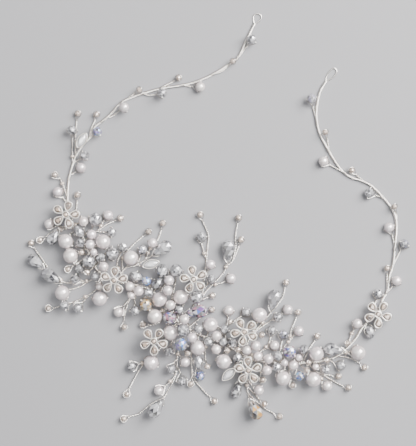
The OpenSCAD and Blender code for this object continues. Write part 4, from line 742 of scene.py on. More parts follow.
def depth_in(ball, a, b, r):
    """How deep a straight piece of wire with radius r lies in a ball."""
    middle, size = ball
    along = b - a
    k = max(0, min(1, (middle - a).dot(along) / along.length_squared)) if along.length_squared else 0
    return size + r - (a + along * k - middle).length


# How far round a bead its neighbours are looked at, and how deep its stalk may lie in them, added up
NEIGHBOURS = 22 * MM
ALLOWED_DEPTH = 0.5 * MM
# The strands of a barred stalk are thinned by this
THINNED = 0.7
# Where it may end: places of the stem this far apart, the nearest of them, none closer than the last
ANCHOR_STEP = 1.2 * MM
NEAREST_ANCHORS = 160
SHORTEST_WAY = 1.8 * MM


class Stalk:
    """A bead's stalk: its line from the bead to the stem, and how thick its two strands are."""

    def __init__(self, piece):
        self.piece = piece
        self.r = wire_sizes().strand / 2
        self.out = piece.to_stem
        self.across = piece.across
        self.line = []

    def apex(self):
        """Where the two strands meet in front of the bead."""
        return self.piece.middle + self.out * (self.piece.radius_along + APEX)

    def lay(self, route):
        """Lays its line from the apex along the route, without the route's places that lie too near the bead."""
        apex, middle = self.apex(), self.piece.middle
        clear = [p for p in route if (p - middle).length > (apex - middle).length + CLEAR_OF_APEX]
        self.line = even_line(smooth_line([apex, *reversed(clear or route[:1])], LINE_STEP), LINE_STEP)

    def depth(self, balls):
        """How deep it lies in other pieces, added up."""
        r = 2 * self.r
        found = 0
        places = [self.piece.middle + self.out * self.piece.radius_along, *self.line[::3], self.line[-1]]
        for ball in balls:
            deepest = max(depth_in(ball, a, b, r) for a, b in zip(places, places[1:]))
            found += max(0, deepest)
        return found

    def strands(self):
        """Wires as their places, the two twisted strands at their ends, and their radius.

        They run from the stem round the bead, through its hole and back to the stem.
        A tip crystal has a thinner ring all round it, and a short wire in its hole.
        """
        wire = wire_sizes()
        piece = self.piece
        turn = wire.pair_turn * self.r / (wire.strand / 2)
        line = even_line(self.line, turn / 8)
        one = wound(line, self.across, self.r, turn, 0)
        other = wound(line, self.across, self.r, turn, math.pi)
        r = 0.7 * self.r if piece.kind == "s" else self.r
        far, wide = [size + r + wire.gap for size in (piece.radius_along, piece.radius_across)]

        def beside(degrees):
            """A place beside the bead, at an angle from its front."""
            angle = math.radians(degrees)
            return piece.middle + self.out * math.cos(angle) * far + self.across * math.sin(angle) * wide

        if piece.kind == "s":
            ring = [one[0], *(beside(a) for a in range(45, 325, 30)), other[0]]
            stub = [beside(90), piece.middle, beside(-90)]
            return [(smooth_line(ring, LINE_STEP), one, other, r), (stub, None, None, 0.6 * r)]
        out = [beside(a) for a in (42, 60, 78, 92)]
        hole = [piece.middle + self.across * wide * k for k in (0.7, 0, -0.7)]
        back = [beside(a) for a in (-92, -78, -60, -42)]
        return [(smooth_line([one[0], *out, *hole, *back, other[0]], STRAND_STEP), one, other, r)]


def lay_stalks():
    """Lays each stalk on its route, or to the nearest free place of the wire where beads bar the route."""
    stalks = [Stalk(piece) for piece in PIECES]
    near = {
        stalk: [
            ball for piece in PIECES if piece is not stalk.piece
            and (piece.middle - stalk.piece.middle).length < NEIGHBOURS for ball in piece.balls()]
        for stalk in stalks}
    anchors = []
    for stem in (LEFT_STEM, RIGHT_STEM):
        anchors += even_line([lifted(p) for p in stem], ANCHOR_STEP)
    barred = []
    for stalk in stalks:
        stalk.lay(stalk.piece.route)
        if stalk.depth(near[stalk]) < ALLOWED_DEPTH:
            anchors += stalk.line[6::5]
        else:
            barred.append(stalk)

    def way(stalk, route):
        """A way of a stalk as it is laid: its cost, in which depth counts four times, its route and direction."""
        return 4 * stalk.depth(near[stalk]) + len(stalk.line) * LINE_STEP, route, stalk.out

    for stalk in barred:
        stalk.r *= THINNED
        middle = stalk.piece.middle
        ways = [way(stalk, stalk.piece.route)]
        close = sorted(anchors, key=lambda p: (p - middle).length)[:NEAREST_ANCHORS]
        free = [p for p in close if (p - middle).length > stalk.piece.radius_along + SHORTEST_WAY]
        for anchor in free[::2]:
            if stalk.piece.kind not in "DFN":
                stalk.out = (anchor - middle).normalized()
            elif stalk.out.dot(anchor - middle) < 0:
                continue
            stalk.lay([anchor])
            ways.append(way(stalk, [anchor]))
        _, route, stalk.out = min(ways, key=lambda found: found[0])
        stalk.across = UP.cross(stalk.out).normalized()
        stalk.lay(route)
    return stalks


def lifted(place):
    """A place of the stem, at the height that lays it on the surface."""
    return at(place) + UP * wire_sizes().stem / 2


# The seed beads as they are threaded: place, direction of the stalk
SEED_PLACES = []
# How far from its place in the table a seed bead may be threaded, and how far it may press on a neighbour
SEED_SEARCH = 4 * MM
SEED_PRESS = 0.05 * MM


def thread_seeds(stalks):
    """Threads each seed bead on a full stalk, at the free place nearest to its own, and lifts the stalk there."""
    r = bead_sizes().seed / 2
    taken = [ball for piece in PIECES for ball in piece.balls()]
    SEED_PLACES.clear()
    for seed in SEEDS:
        place = at(seed)
        choices = []
        for stalk in stalks:
            if stalk.r < wire_sizes().strand / 2:
                continue
            # Not at its very ends, and at every second place
            for k in range(4, len(stalk.line) - 4, 2):
                spot = stalk.line[k].copy()
                off = (spot.xy - place.xy).length
                if off < SEED_SEARCH:
                    spot.z = max(spot.z, r)
                    choices.append((off, len(choices), stalk, k, spot))
        for off, _, stalk, k, spot in sorted(choices, key=lambda choice: choice[:2]):
            if all((spot - middle).length > size + r - SEED_PRESS for middle, size in taken):
                raise_line(stalk.line, k, spot.z)
                SEED_PLACES.append((spot, (stalk.line[k + 1] - stalk.line[k - 1]).normalized()))
                taken.append((spot, r))
                break


def raise_line(line, k, height):
    """Lifts a line in a low hump to the height at its place k."""
    rise = height - line[k].z
    for n, place in enumerate(line):
        share = max(0, 1 - abs(n - k) / HUMP)
        place.z += rise * share * share * (3 - 2 * share)


def tube_piece(name, tubes, finish):
    """One piece of round wires. Each tube is its places and the radius at each of them."""
    curve = bpy.data.curves.new(name, "CURVE")
    curve.dimensions = "3D"
    curve.bevel_depth = 1
    curve.bevel_resolution = 1
    curve.use_fill_caps = True
    for places, radii in tubes:
        spline = curve.splines.new("POLY")
        spline.points.add(len(places) - 1)
        spline.points.foreach_set("co", [x for p, r in zip(places, radii) for x in (p.x, p.y, max(p.z, r), 1)])
        spline.points.foreach_set("radius", radii)
    piece = bpy.data.objects.new(name, curve)
    bpy.context.collection.objects.link(piece)
    pick(piece)
    bpy.ops.object.convert(target="MESH")
    piece = bpy.context.object
    bpy.ops.object.mode_set(mode="EDIT")
    bpy.ops.mesh.select_all(action="SELECT")
    bpy.ops.mesh.remove_doubles(threshold=0.002 * MM)
    bpy.ops.mesh.normals_make_consistent(inside=False)
    bpy.ops.object.mode_set(mode="OBJECT")
    bpy.ops.object.shade_smooth_by_angle(angle=math.radians(70))
    return finished(piece, finish)


def stem_strands():
    """The stem's twisted strands, in a left and a right part that meet where the two CAD wires do."""
    wire = wire_sizes()
    stem = smooth_line([lifted(p) for p in (*LEFT_STEM, *RIGHT_STEM[1:])], STRAND_STEP)
    stem = even_line(stem, wire.stem_turn / 8)
    join = lifted(RIGHT_STEM[0])
    middle = min(range(len(stem)), key=lambda k: (stem[k] - join).length)
    r = wire.strand / 2
    for n in range(wire.stem_strands):
        strand = wound(stem, UP, wire.stem / 2 - r, wire.stem_turn, math.tau * n / wire.stem_strands)
        for side, part in (("left", strand[:middle + 1]), ("right", strand[middle:])):
            yield side, (part, [r] * len(part))


def end_loops():
    """The loops at the two ends, each a single wire."""
    for side, loop in (("left", LEFT_LOOP), ("right", RIGHT_LOOP)):
        places = even_line(smooth_line([at(p) + UP * LOOP_HEIGHT for p in loop], STRAND_STEP), STRAND_STEP)
        yield side, (places, [LOOP_R] * len(places))


def windings():
    """The coils of fine wire round the stem."""
    for x, y, degrees in WINDINGS:
        ahead = Matrix.Rotation(math.radians(degrees), 3, "Z") @ Vector((1, 0, 0))
        centre = at((x, y)) + UP * COIL_HEIGHT
        length = COIL_TURNS * 2 * COIL_R
        line = [centre + ahead * (k / COIL_PLACES - 0.5) * length for k in range(COIL_PLACES + 1)]
        coil = wound(line, UP, COIL_ROUND, 2.1 * COIL_R, 0)
        yield "left" if x < JOIN else "right", (coil, [COIL_R] * len(coil))


def stalk_strands(stalks):
    """The wires of the stalks. The two strands of each run on from the turn round its bead."""
    for stalk in stalks:
        for turn, one, other, r in stalk.strands():
            if one:
                ends = [stalk.r] * len(one)
                places = [*reversed(one), *turn[1:-1], *other]
                yield stalk.piece.side, (places, [*ends, *[r] * (len(turn) - 2), *ends])
            else:
                yield stalk.piece.side, (turn, [r] * len(turn))


class VINE_OT_wire(bpy.types.Operator):
    """Twist the stem, its end loops and a stalk for each bead, with fine wire wound round the stem"""
    bl_idname = "hair_vine.wire"
    bl_label = "Twisted wire"

    def execute(self, context):
        read_pieces()
        stalks = lay_stalks()
        thread_seeds(stalks)
        tubes = {side: [] for side in SIDES}
        for side, tube in (*stem_strands(), *end_loops(), *windings(), *stalk_strands(stalks)):
            tubes[side].append(tube)
        for side, node in (("left", "wire_left"), ("middle", "wire_left"), ("right", "wire_right")):
            piece = tube_piece(f"twisted_wire_{side}", tubes[side], wire_finish())
            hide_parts(node)
        return {"FINISHED"}


# Modelling

def pick(*objects):
    """Selects these objects alone and makes the first one active."""
    bpy.ops.object.select_all(action="DESELECT")
    for obj in objects:
        obj.select_set(True)
    bpy.context.view_layer.objects.active = objects[0]


def finished(piece, finish):
    """Gives a piece its finish and its body."""
    piece.data.materials.clear()
    piece.data.materials.append(finish)
    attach(piece, BODY)
    return piece


def edit(obj):
    """The object's mesh in edit mode, with nothing selected, in face mode."""
    pick(obj)
    bpy.ops.object.mode_set(mode="EDIT")
    bpy.ops.mesh.select_mode(type="FACE")
    bpy.ops.mesh.select_all(action="DESELECT")
    return bmesh.from_edit_mesh(obj.data)


def choose(obj, test):
    """Selects the faces in edit mode whose middle and normal pass the test."""
    for face in bmesh.from_edit_mesh(obj.data).faces:
        face.select_set(bool(test(face.calc_center_median(), face.normal)))
    bmesh.update_edit_mesh(obj.data)


def choose_corners(obj, test):
    """Selects the corners in edit mode whose place passes the test."""
    for vert in bmesh.from_edit_mesh(obj.data).verts:
        vert.select_set(bool(test(vert.co)))
    bmesh.update_edit_mesh(obj.data)


def done(obj):
    """Leaves edit mode."""
    bpy.ops.object.mode_set(mode="OBJECT")
    return obj


def resize(x, y, z, middle=(0, 0, 0)):
    """Scales what is selected about a middle."""
    bpy.ops.transform.resize(value=(x, y, z), center_override=middle)


def new_bead(name, r, segments, rings, hole, cut=False):
    """A round bead with a hole along Z. A cut one has flat facets, with a flat ring round each end of the hole."""
    bpy.ops.object.select_all(action="DESELECT")
    bpy.ops.mesh.primitive_uv_sphere_add(segments=segments, ring_count=rings, radius=r)
    bead = bpy.context.object
    bead.name = name
    mesh = edit(bead)
    bpy.ops.mesh.select_mode(type="VERT")
    rows = sorted({round(v.co.z / r, 4) for v in mesh.verts})[1:-1]
    choose_corners(bead, lambda place: abs(place.z) > 0.999 * r)
    bpy.ops.mesh.delete(type="VERT")
    if cut:
        # Alternate rows of corners are turned by half a facet
        for row in rows[1::2]:
            choose_corners(bead, lambda place: abs(place.z / r - row) < 0.001)
            bpy.ops.transform.rotate(value=math.pi / segments, orient_axis="Z", center_override=(0, 0, 0))
    bpy.ops.mesh.select_all(action="DESELECT")
    bpy.ops.mesh.select_non_manifold()
    if cut:
        bpy.ops.mesh.extrude_edges_move()
    width = next(v for v in bmesh.from_edit_mesh(bead.data).verts if v.select).co.xy.length
    resize(hole / 2 / width, hole / 2 / width, 1)
    bpy.ops.mesh.select_all(action="DESELECT")
    bpy.ops.mesh.select_non_manifold()
    bpy.ops.mesh.bridge_edge_loops()
    if cut:
        # Sloping facets are split in triangles, and the flat rings and the hole aren't
        bpy.ops.mesh.select_mode(type="FACE")
        choose(bead, lambda place, normal: abs(normal.z) < 0.98 and place.xy.length > 0.6 * hole)
        bpy.ops.mesh.quads_convert_to_tris()
    bpy.ops.mesh.select_all(action="SELECT")
    bpy.ops.mesh.normals_make_consistent(inside=False)
    done(bead)
    if cut:
        bevelled(bead, FACET_EDGE)
    else:
        bpy.ops.object.shade_smooth_by_angle(angle=math.radians(50))
    return bead


def bevelled(obj, width, segments=1, degrees=12):
    """Takes the sharp edges off."""
    pick(obj)
    bevel = obj.modifiers.new("Edges", "BEVEL")
    bevel.width = width
    bevel.segments = segments
    bevel.limit_method = "ANGLE"
    bevel.angle_limit = math.radians(degrees)
    bevel.use_clamp_overlap = True
    bpy.ops.object.modifier_apply(modifier=bevel.name)


def new_long_bead(name, rows, sides):
    """A cut bead whose length lies along X, from rows of place and radius, with alternate rows turned."""
    bpy.ops.object.select_all(action="DESELECT")
    x, r = rows[0]
    bpy.ops.mesh.primitive_circle_add(
        vertices=sides, radius=r, fill_type="NGON", location=(x, 0, 0), rotation=(0, math.pi / 2, 0))
    bead = bpy.context.object
    bead.name = name
    bpy.ops.object.transform_apply(location=True, rotation=True, scale=True)
    edit(bead)
    bpy.ops.mesh.select_all(action="SELECT")
    for before, after in zip(rows, rows[1:]):
        bpy.ops.mesh.extrude_region_move(TRANSFORM_OT_translate={"value": (after[0] - before[0], 0, 0)})
        share = after[1] / before[1]
        resize(1, share, share, (after[0], 0, 0))
        bpy.ops.transform.rotate(value=math.pi / sides, orient_axis="X", center_override=(after[0], 0, 0))
    # Sloping facets are split in triangles, and the flat ends aren't
    choose(bead, lambda place, normal: abs(normal.x) < 0.98)
    bpy.ops.mesh.quads_convert_to_tris()
    bpy.ops.mesh.select_all(action="SELECT")
    bpy.ops.mesh.normals_make_consistent(inside=False)
    return done(bead)


def drilled(bead, hole, length):
    """Drills a long bead across at its origin."""
    bpy.ops.object.select_all(action="DESELECT")
    bpy.ops.mesh.primitive_cylinder_add(vertices=12, radius=hole / 2, depth=length, rotation=(math.pi / 2, 0, 0))
    drill = bpy.context.object
    bpy.ops.object.transform_apply(rotation=True)
    pick(bead)
    cut = bead.modifiers.new("Hole", "BOOLEAN")
    cut.operation = "DIFFERENCE"
    cut.object = drill
    bpy.ops.object.modifier_apply(modifier=cut.name)
    bpy.data.objects.remove(drill)


def cup_outline(length, width, middle, taper, blunt):
    """Moves a circle's points onto a cup's outline.

    A taper above 0 makes its outer end fuller. A blunt of 1 leaves its ends round, and less points them.
    """
    def placed(co):
        """A circle's point on the outline."""
        x, y = co.x, co.y
        return Vector((middle + x * length / 2, y * width / 2 * (blunt + taper * x - (1 - blunt) * x * x), co.z))
    return placed


def new_cup(name, outline, wall, plate, depth, vertices=20):
    """A cup on its plate: the outline raised, inset by the wall and sunk to the plate."""
    bpy.ops.object.select_all(action="DESELECT")
    bpy.ops.mesh.primitive_circle_add(vertices=vertices, radius=1, fill_type="NGON")
    cup = bpy.context.object
    cup.name = name
    for vert in cup.data.vertices:
        vert.co = outline(vert.co)
    edit(cup)
    bpy.ops.mesh.select_all(action="SELECT")
    bpy.ops.mesh.extrude_region_move(TRANSFORM_OT_translate={"value": (0, 0, plate + depth)})
    bpy.ops.mesh.inset(thickness=wall)
    bpy.ops.mesh.extrude_region_move(TRANSFORM_OT_translate={"value": (0, 0, -depth)})
    bpy.ops.mesh.select_all(action="SELECT")
    bpy.ops.mesh.normals_make_consistent(inside=False)
    done(cup)
    bevelled(cup, CUP_RIM, 2, 40)
    bpy.ops.object.shade_smooth_by_angle(angle=math.radians(35))
    return cup


def new_stone(name, outline, wall, base, girdle, top, vertices=12, middle=(0, 0, 0)):
    """A flat-backed stone: its outline inset by the wall and raised from its base to the girdle, with a crown.

    The crown has turned facets up to its table, round the middle that is given.
    """
    bpy.ops.object.select_all(action="DESELECT")
    bpy.ops.mesh.primitive_circle_add(vertices=vertices, radius=1, fill_type="NGON")
    stone = bpy.context.object
    stone.name = name
    for vert in stone.data.vertices:
        vert.co = outline(vert.co)
        vert.co.z = base
    edit(stone)
    bpy.ops.mesh.select_all(action="SELECT")
    bpy.ops.mesh.inset(thickness=wall)
    bpy.ops.mesh.select_all(action="INVERT")
    bpy.ops.mesh.delete(type="FACE")
    bpy.ops.mesh.select_all(action="SELECT")
    bpy.ops.mesh.extrude_region_move(TRANSFORM_OT_translate={"value": (0, 0, girdle - base)})
    for share, rise in CROWN_STEPS:
        bpy.ops.mesh.extrude_region_move(TRANSFORM_OT_translate={"value": (0, 0, (top - girdle) * rise)})
        resize(share, share, 1, middle)
    bpy.ops.mesh.select_all(action="SELECT")
    bpy.ops.mesh.normals_make_consistent(inside=False)
    done(stone)
    turned_crown(stone, girdle, top, middle)
    bevelled(stone, FACET_EDGE)
    return stone


def turned_crown(stone, girdle, top, middle):
    """Slides the crown's middle row of corners half a facet along, and splits its faces in triangles."""
    mesh = edit(stone)
    level = girdle + (top - girdle) * CROWN_STEPS[0][1]
    row = [v for v in mesh.verts if abs(v.co.z - level) < 0.01 * MM]
    row.sort(key=lambda v: math.atan2(v.co.y - middle[1], v.co.x - middle[0]))
    halves = [(a.co + b.co) / 2 for a, b in zip(row, [*row[1:], row[0]])]
    for vert, co in zip(row, halves):
        vert.co = co
    bmesh.update_edit_mesh(stone.data)
    choose(stone, lambda place, normal: 0.05 < abs(normal.z) < 0.98 and place.z > girdle)
    bpy.ops.mesh.quads_convert_to_tris()
    done(stone)


# Copies of the modelled forms, and their colours

def tinted(mesh, colours):
    """Writes a colour for each face into the mesh's facet colours."""
    layer = mesh.color_attributes.new(name="facet", type="FLOAT_COLOR", domain="CORNER")
    values = []
    for face, colour in zip(mesh.polygons, colours):
        values += [*colour, 1] * face.loop_total
    layer.data.foreach_set("color", values)


def facet_colours(mesh, chance, flash, small_face):
    """Each facet's colour is a painted reflection of another part of the surroundings: grey, white, dark, or a
    flash of the coat.

    They are drawn by place, because the modelling tools number a form's faces in another order in each run.
    """
    colours = [(1, 1, 1)] * len(mesh.polygons)
    for face in sorted(mesh.polygons, key=lambda face: [round(c / (0.01 * MM)) for c in face.center]):
        drawn = chance.random()
        # Bevelled edges below small_face keep white: painted highlights
        if face.area < small_face:
            continue
        # Painted reflections: a flash of the coat, a grey or a dark facet; the rest stay white
        if flash and drawn < FLASHING:
            colours[face.index] = chance.choice(FLASH_COLOURS[flash])
        elif drawn <= GREY:
            grey = chance.uniform(0.16, 0.62)
            colours[face.index] = grey, grey * 0.995, grey * chance.uniform(0.96, 1.04)
        elif drawn <= DARK:
            colours[face.index] = 0.1, 0.1, 0.11
    return colours


def flash_of(piece):
    """The colours that a coated crystal flashes in, or none."""
    return next((name for name, places in FLASHES.items() if piece.read_at in map(Vector, places)), None)


def plated(chance):
    """Metal has its finish's own colour all over."""
    return 1, 1, 1


def fused(name, copies, finish, seed, small_face=0, plain=None):
    """One piece of copies of modelled forms: each its form, its place, and the colours that it flashes in.

    Facets below the area small_face stay white, as painted highlights on the bevelled edges. A plain copy has one
    colour, which the function plain draws.
    """
    chance = random.Random(seed)
    made = []
    for form, place, flash in copies:
        copy = bpy.data.objects.new(name, form.data.copy())
        bpy.context.collection.objects.link(copy)
        if plain:
            tone = plain(chance)
            tinted(copy.data, [tone] * len(copy.data.polygons))
        else:
            tinted(copy.data, facet_colours(copy.data, chance, flash, small_face))
        copy.data.transform(place)
        made.append(copy)
    pick(*made)
    if len(made) > 1:
        bpy.ops.object.join()
    piece = bpy.context.view_layer.objects.active
    piece.name = name
    piece.data.name = name
    return finished(piece, finish)


def clear_away(*forms):
    """Removes the forms once their copies are made."""
    for form in forms:
        bpy.data.objects.remove(form)


def along(direction, roll=0):
    """Turns a form's Z axis to a direction, after a roll about it."""
    return direction.to_track_quat("Z", "Y").to_matrix().to_4x4() @ Matrix.Rotation(roll, 4, "Z")


def laid_along(piece):
    """Turns a form's X axis to the direction in which a piece points away from its stalk."""
    plan = Vector((piece.away.x, piece.away.y, 0)).normalized()
    return Matrix.Translation(piece.middle) @ Matrix.Rotation(math.atan2(plan.y, plan.x), 4, "Z")


# The pieces

def pearl_tone(chance):
    """A pearl's own tone, a little warmer or darker than its neighbours'."""
    tone = chance.uniform(0.9, 1)
    return tone, tone * chance.uniform(0.975, 1), tone * chance.uniform(0.95, 0.995)


class VINE_OT_pearls(bpy.types.Operator):
    """Add the large, small and mini pearls, each with its hole along the strand that holds it"""
    bl_idname = "hair_vine.pearls"
    bl_label = "Pearls"

    def execute(self, context):
        beads = bead_sizes()
        hole = beads.bead_hole
        forms = {
            "P": new_bead("large", beads.large_pearl / 2, 28, 16, hole),
            "p": new_bead("small", beads.small_pearl / 2, 20, 12, hole),
            "q": new_bead("mini", beads.mini_pearl / 2, 20, 12, hole),
        }

        def copy(piece):
            """Its form, its place and no flash."""
            return forms[piece.kind], Matrix.Translation(piece.middle) @ along(piece.across), None

        for k, piece in enumerate(of_kind("P"), 1):
            pearl = fused(f"pearl_{k}", [copy(piece)], pearl_finish(), k, plain=pearl_tone)
            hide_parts(piece.node)
        for k, side in enumerate(SIDES):
            group = [copy(piece) for piece in of_kind("pq") if piece.side == side]
            pearls = fused(f"pearls_{side}", group, pearl_finish(), 40 + k, plain=pearl_tone)
            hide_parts(f"small_pearls_{side}")
        clear_away(*forms.values())
        return {"FINISHED"}


class VINE_OT_round_crystals(bpy.types.Operator):
    """Add the large and small round cut crystals and the ones at the tips"""
    bl_idname = "hair_vine.round_crystals"
    bl_label = "Round crystals"

    def execute(self, context):
        beads = bead_sizes()
        hole = beads.bead_hole
        forms = {
            "C": new_bead("large", beads.large_crystal * 0.5, 10, 8, hole, cut=True),
            "c": new_bead("small", beads.small_crystal * 0.5, 9, 7, hole, cut=True),
            "s": new_bead("tip", beads.tip_crystal * TIP_SHARE, 8, 6, hole * 0.7, cut=True),
        }
        chance = random.Random(11)

        def copy(piece):
            """Its form, its place with a roll of its own, and its flash."""
            place = Matrix.Translation(piece.middle) @ along(piece.across, chance.uniform(0, 1))
            # Tip crystals carry painted reflections in foil colours
            flash = "foil" if piece.kind == "s" else flash_of(piece)
            return forms[piece.kind], place @ Matrix.Diagonal((1, 1, 0.94, 1)), flash

        for kind, name, group, finish in (
                ("C", "round_crystals", "large_crystals", crystal_finish()),
                ("c", "little_crystals", "small_crystals", crystal_finish()),
                ("s", "end_crystals", "tip_crystals", champagne_finish())):
            for k, side in enumerate(SIDES):
                copies = [copy(piece) for piece in of_kind(kind) if piece.side == side]
                crystals = fused(f"{name}_{side}", copies, finish, 60 + k, HIGHLIT_EDGE)
                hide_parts(f"{group}_{side}")
        clear_away(*forms.values())
        return {"FINISHED"}


class VINE_OT_long_crystals(bpy.types.Operator):
    """Add the drops, drilled through their narrow end, and the oval crystals"""
    bl_idname = "hair_vine.long_crystals"
    bl_label = "Drops and ovals"

    def execute(self, context):
        hole = bead_sizes().bead_hole
        drop = new_long_bead("drop", [(x * DROP_LENGTH, r * DROP_WIDTH / 2) for x, r in DROP_ROWS], 8)
        drilled(drop, hole, DROP_WIDTH)
        bevelled(drop, DROP_EDGE)
        oval = new_long_bead("oval", [(x * OVAL_LENGTH, r * OVAL_WIDTH / 2) for x, r in OVAL_ROWS], 8)
        drilled(oval, hole, OVAL_WIDTH * 1.5)
        bevelled(oval, FACET_EDGE)
        chance = random.Random(12)
        for k, piece in enumerate(of_kind("D"), 1):
            roll = Matrix.Rotation(math.pi * chance.choice((0, 1)), 4, "X")
            place = laid_along(piece) @ roll @ Matrix.Scale(piece.share, 4)
            copies = [(drop, place, flash_of(piece))]
            crystal = fused(f"drop_{k}", copies, crystal_finish(), 80 + k, HIGHLIT_DROP_EDGE)
            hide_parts(piece.node)
        copies = [(oval, laid_along(piece), flash_of(piece)) for piece in of_kind("O")]
        ovals = fused("ovals", copies, crystal_finish(), 95, HIGHLIT_EDGE)
        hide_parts("oval_crystals")
        clear_away(drop, oval)
        return {"FINISHED"}


class VINE_OT_seed_beads(bpy.types.Operator):
    """Thread the seed beads on the stalks"""
    bl_idname = "hair_vine.seed_beads"
    bl_label = "Seed beads"

    def execute(self, context):
        beads = bead_sizes()
        seed = new_bead("seed", beads.seed / 2, 12, 8, beads.seed * 0.42)
        for side in ("left", "right"):
            copies = [
                (seed, Matrix.Translation(spot) @ along(ahead) @ Matrix.Diagonal((1, 1, 0.8, 1)), None)
                for spot, ahead in SEED_PLACES if (spot.x < 0) == (side == "left")]
            fused(f"seed_beads_{side}", copies, champagne_finish(), 97, plain=pearl_tone)
        clear_away(seed)
        return {"FINISHED"}


def on_plate(piece, height):
    """The frame of a setting: its plate's underside, turned as the setting is."""
    place = piece.middle.copy()
    place.z = piece.top - height
    return Matrix.Translation(place) @ Matrix.Rotation(piece.turn, 4, "Z")


def foot(piece):
    """The frame of a setting's post, on the surface."""
    return Matrix.Translation((piece.middle.x, piece.middle.y, 0))


def petal_line():
    """A petal's outline, from near the flower's middle to its outer end."""
    setting = setting_sizes()
    near = PETAL_START * setting.centre
    length = setting.flower / 2 - near
    # A petal of this taper is 0.97 as wide as the circle that it is made from
    return cup_outline(length, setting.petal_width / 0.97, near + length / 2, 0.32, 0.92)


def new_post(under):
    """The post of a setting, from over the stem into the plate whose underside is given, with its rim rounded."""
    setting = setting_sizes()
    bottom = wire_sizes().stem + POST_GAP
    top = under + setting.plate / 2
    bpy.ops.object.select_all(action="DESELECT")
    bpy.ops.mesh.primitive_cylinder_add(
        vertices=16, radius=setting.post / 2, depth=top - bottom, location=(0, 0, (top + bottom) / 2))
    post = bpy.context.object
    post.name = "post"
    bpy.ops.object.transform_apply(location=True)
    bevelled(post, POST_RIM, 2, 40)
    bpy.ops.object.shade_smooth_by_angle(angle=math.radians(35))
    return post


class VINE_OT_flowers(bpy.types.Operator):
    """Cast the flowers, with five cupped petals, a cup in the middle and a post, and set their stones"""
    bl_idname = "hair_vine.flowers"
    bl_label = "Flowers"

    def execute(self, context):
        setting = setting_sizes()
        plate, depth, wall = setting.plate, setting.depth, setting.wall
        deeper = 1.3 * depth
        round_line = cup_outline(setting.centre, setting.centre, 0, 0, 1)
        petal = new_cup("petal", petal_line(), wall, plate, depth)
        centre = new_cup("centre", round_line, wall, plate, deeper)
        middle = ((setting.flower / 2 + PETAL_START * setting.centre) / 2 + CROWN_OUT, 0, 0)
        stone = new_stone(
            "stone", petal_line(), wall + STONE_GAP, plate + STONE_BACK, plate + depth * 0.95,
            plate + depth + STONE_RISE, middle=middle)
        round_stone = new_stone(
            "round_stone", round_line, wall + STONE_GAP, plate + STONE_BACK, plate + depth * 1.2,
            plate + depth * 1.75, 10)
        stones = {"left": [], "right": []}
        for k, piece in enumerate(of_kind("F"), 1):
            frame_at = on_plate(piece, plate + deeper)
            turns = [frame_at @ Matrix.Rotation(math.tau * n / 5, 4, "Z") for n in range(5)]
            post = new_post(frame_at.translation.z)
            parts = [(petal, turn, None) for turn in turns] + [(centre, frame_at, None), (post, foot(piece), None)]
            flower = fused(f"cast_flower_{k}", parts, setting_finish(), k, plain=plated)
            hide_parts(piece.node)
            stones["left" if piece.read_at.x < 0 else "right"] += [
                *((stone, turn, "foil") for turn in turns), (round_stone, frame_at, "foil")]
            clear_away(post)
        for side, copies in stones.items():
            name = f"petal_stones_{side}"
            group = fused(name, copies, petal_stone_finish(), 31, HIGHLIT_STONE_EDGE)
            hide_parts(f"flower_stones_{side}")
        clear_away(petal, centre, stone, round_stone)
        return {"FINISHED"}


class VINE_OT_pointed_settings(bpy.types.Operator):
    """Cast the pointed settings and set their stones"""
    bl_idname = "hair_vine.pointed_settings"
    bl_label = "Pointed settings"

    def execute(self, context):
        setting = setting_sizes()
        plate, depth, wall = setting.plate, setting.depth, setting.wall
        cup = new_cup("cup", pointed_line(), wall, plate, depth, 24)
        stone = new_stone(
            "stone", pointed_line(), wall + STONE_GAP, plate + STONE_BACK, plate + depth,
            plate + depth + STONE_RISE)
        for k, piece in enumerate(of_kind("N"), 1):
            frame_at = on_plate(piece, plate + depth)
            post = new_post(frame_at.translation.z)
            parts = [(cup, frame_at, None), (post, foot(piece), None)]
            made = fused(f"pointed_cup_{k}", parts, setting_finish(), k, plain=plated)
            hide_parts(piece.node)
            copies = [(stone, frame_at, None)]
            name = f"pointed_stone_{k}"
            crystal = fused(name, copies, rhinestone_finish(), 33 + k, HIGHLIT_STONE_EDGE)
            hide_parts(f"navette_stone_{k}")
            clear_away(post)
        clear_away(cup, stone)
        return {"FINISHED"}


def pointed_line():
    """The outline of a pointed cup."""
    setting = setting_sizes()
    length, width = setting.navette_length, setting.navette_width

    def placed(co):
        """A circle's point on the outline."""
        return Vector((co.x * length / 2, co.y * (1 - 0.35 * co.x * co.x) * width / 2, co.z))
    return placed


# Finishes

def new_finish(name, **values):
    """A material, with values of its shader's inputs."""
    finish = bpy.data.materials.new(name)
    finish.use_nodes = True
    shader = inside(finish)[2]
    for label, value in values.items():
        shader.inputs[label.replace("_", " ")].default_value = value
    return finish


def inside(finish):
    """A material's nodes, its links and its shader."""
    nodes, links = finish.node_tree.nodes, finish.node_tree.links
    return nodes, links, next(n for n in nodes if n.type == "BSDF_PRINCIPLED")


def group_named(name, inputs, outputs):
    """A new shader node group with named sockets, and its two ends."""
    group = bpy.data.node_groups.new(name, "ShaderNodeTree")
    for label, kind, default in inputs:
        socket = group.interface.new_socket(name=label, in_out="INPUT", socket_type=kind)
        socket.default_value = default
    for label, kind in outputs:
        group.interface.new_socket(name=label, in_out="OUTPUT", socket_type=kind)
    return group, group.nodes.new("NodeGroupInput"), group.nodes.new("NodeGroupOutput")


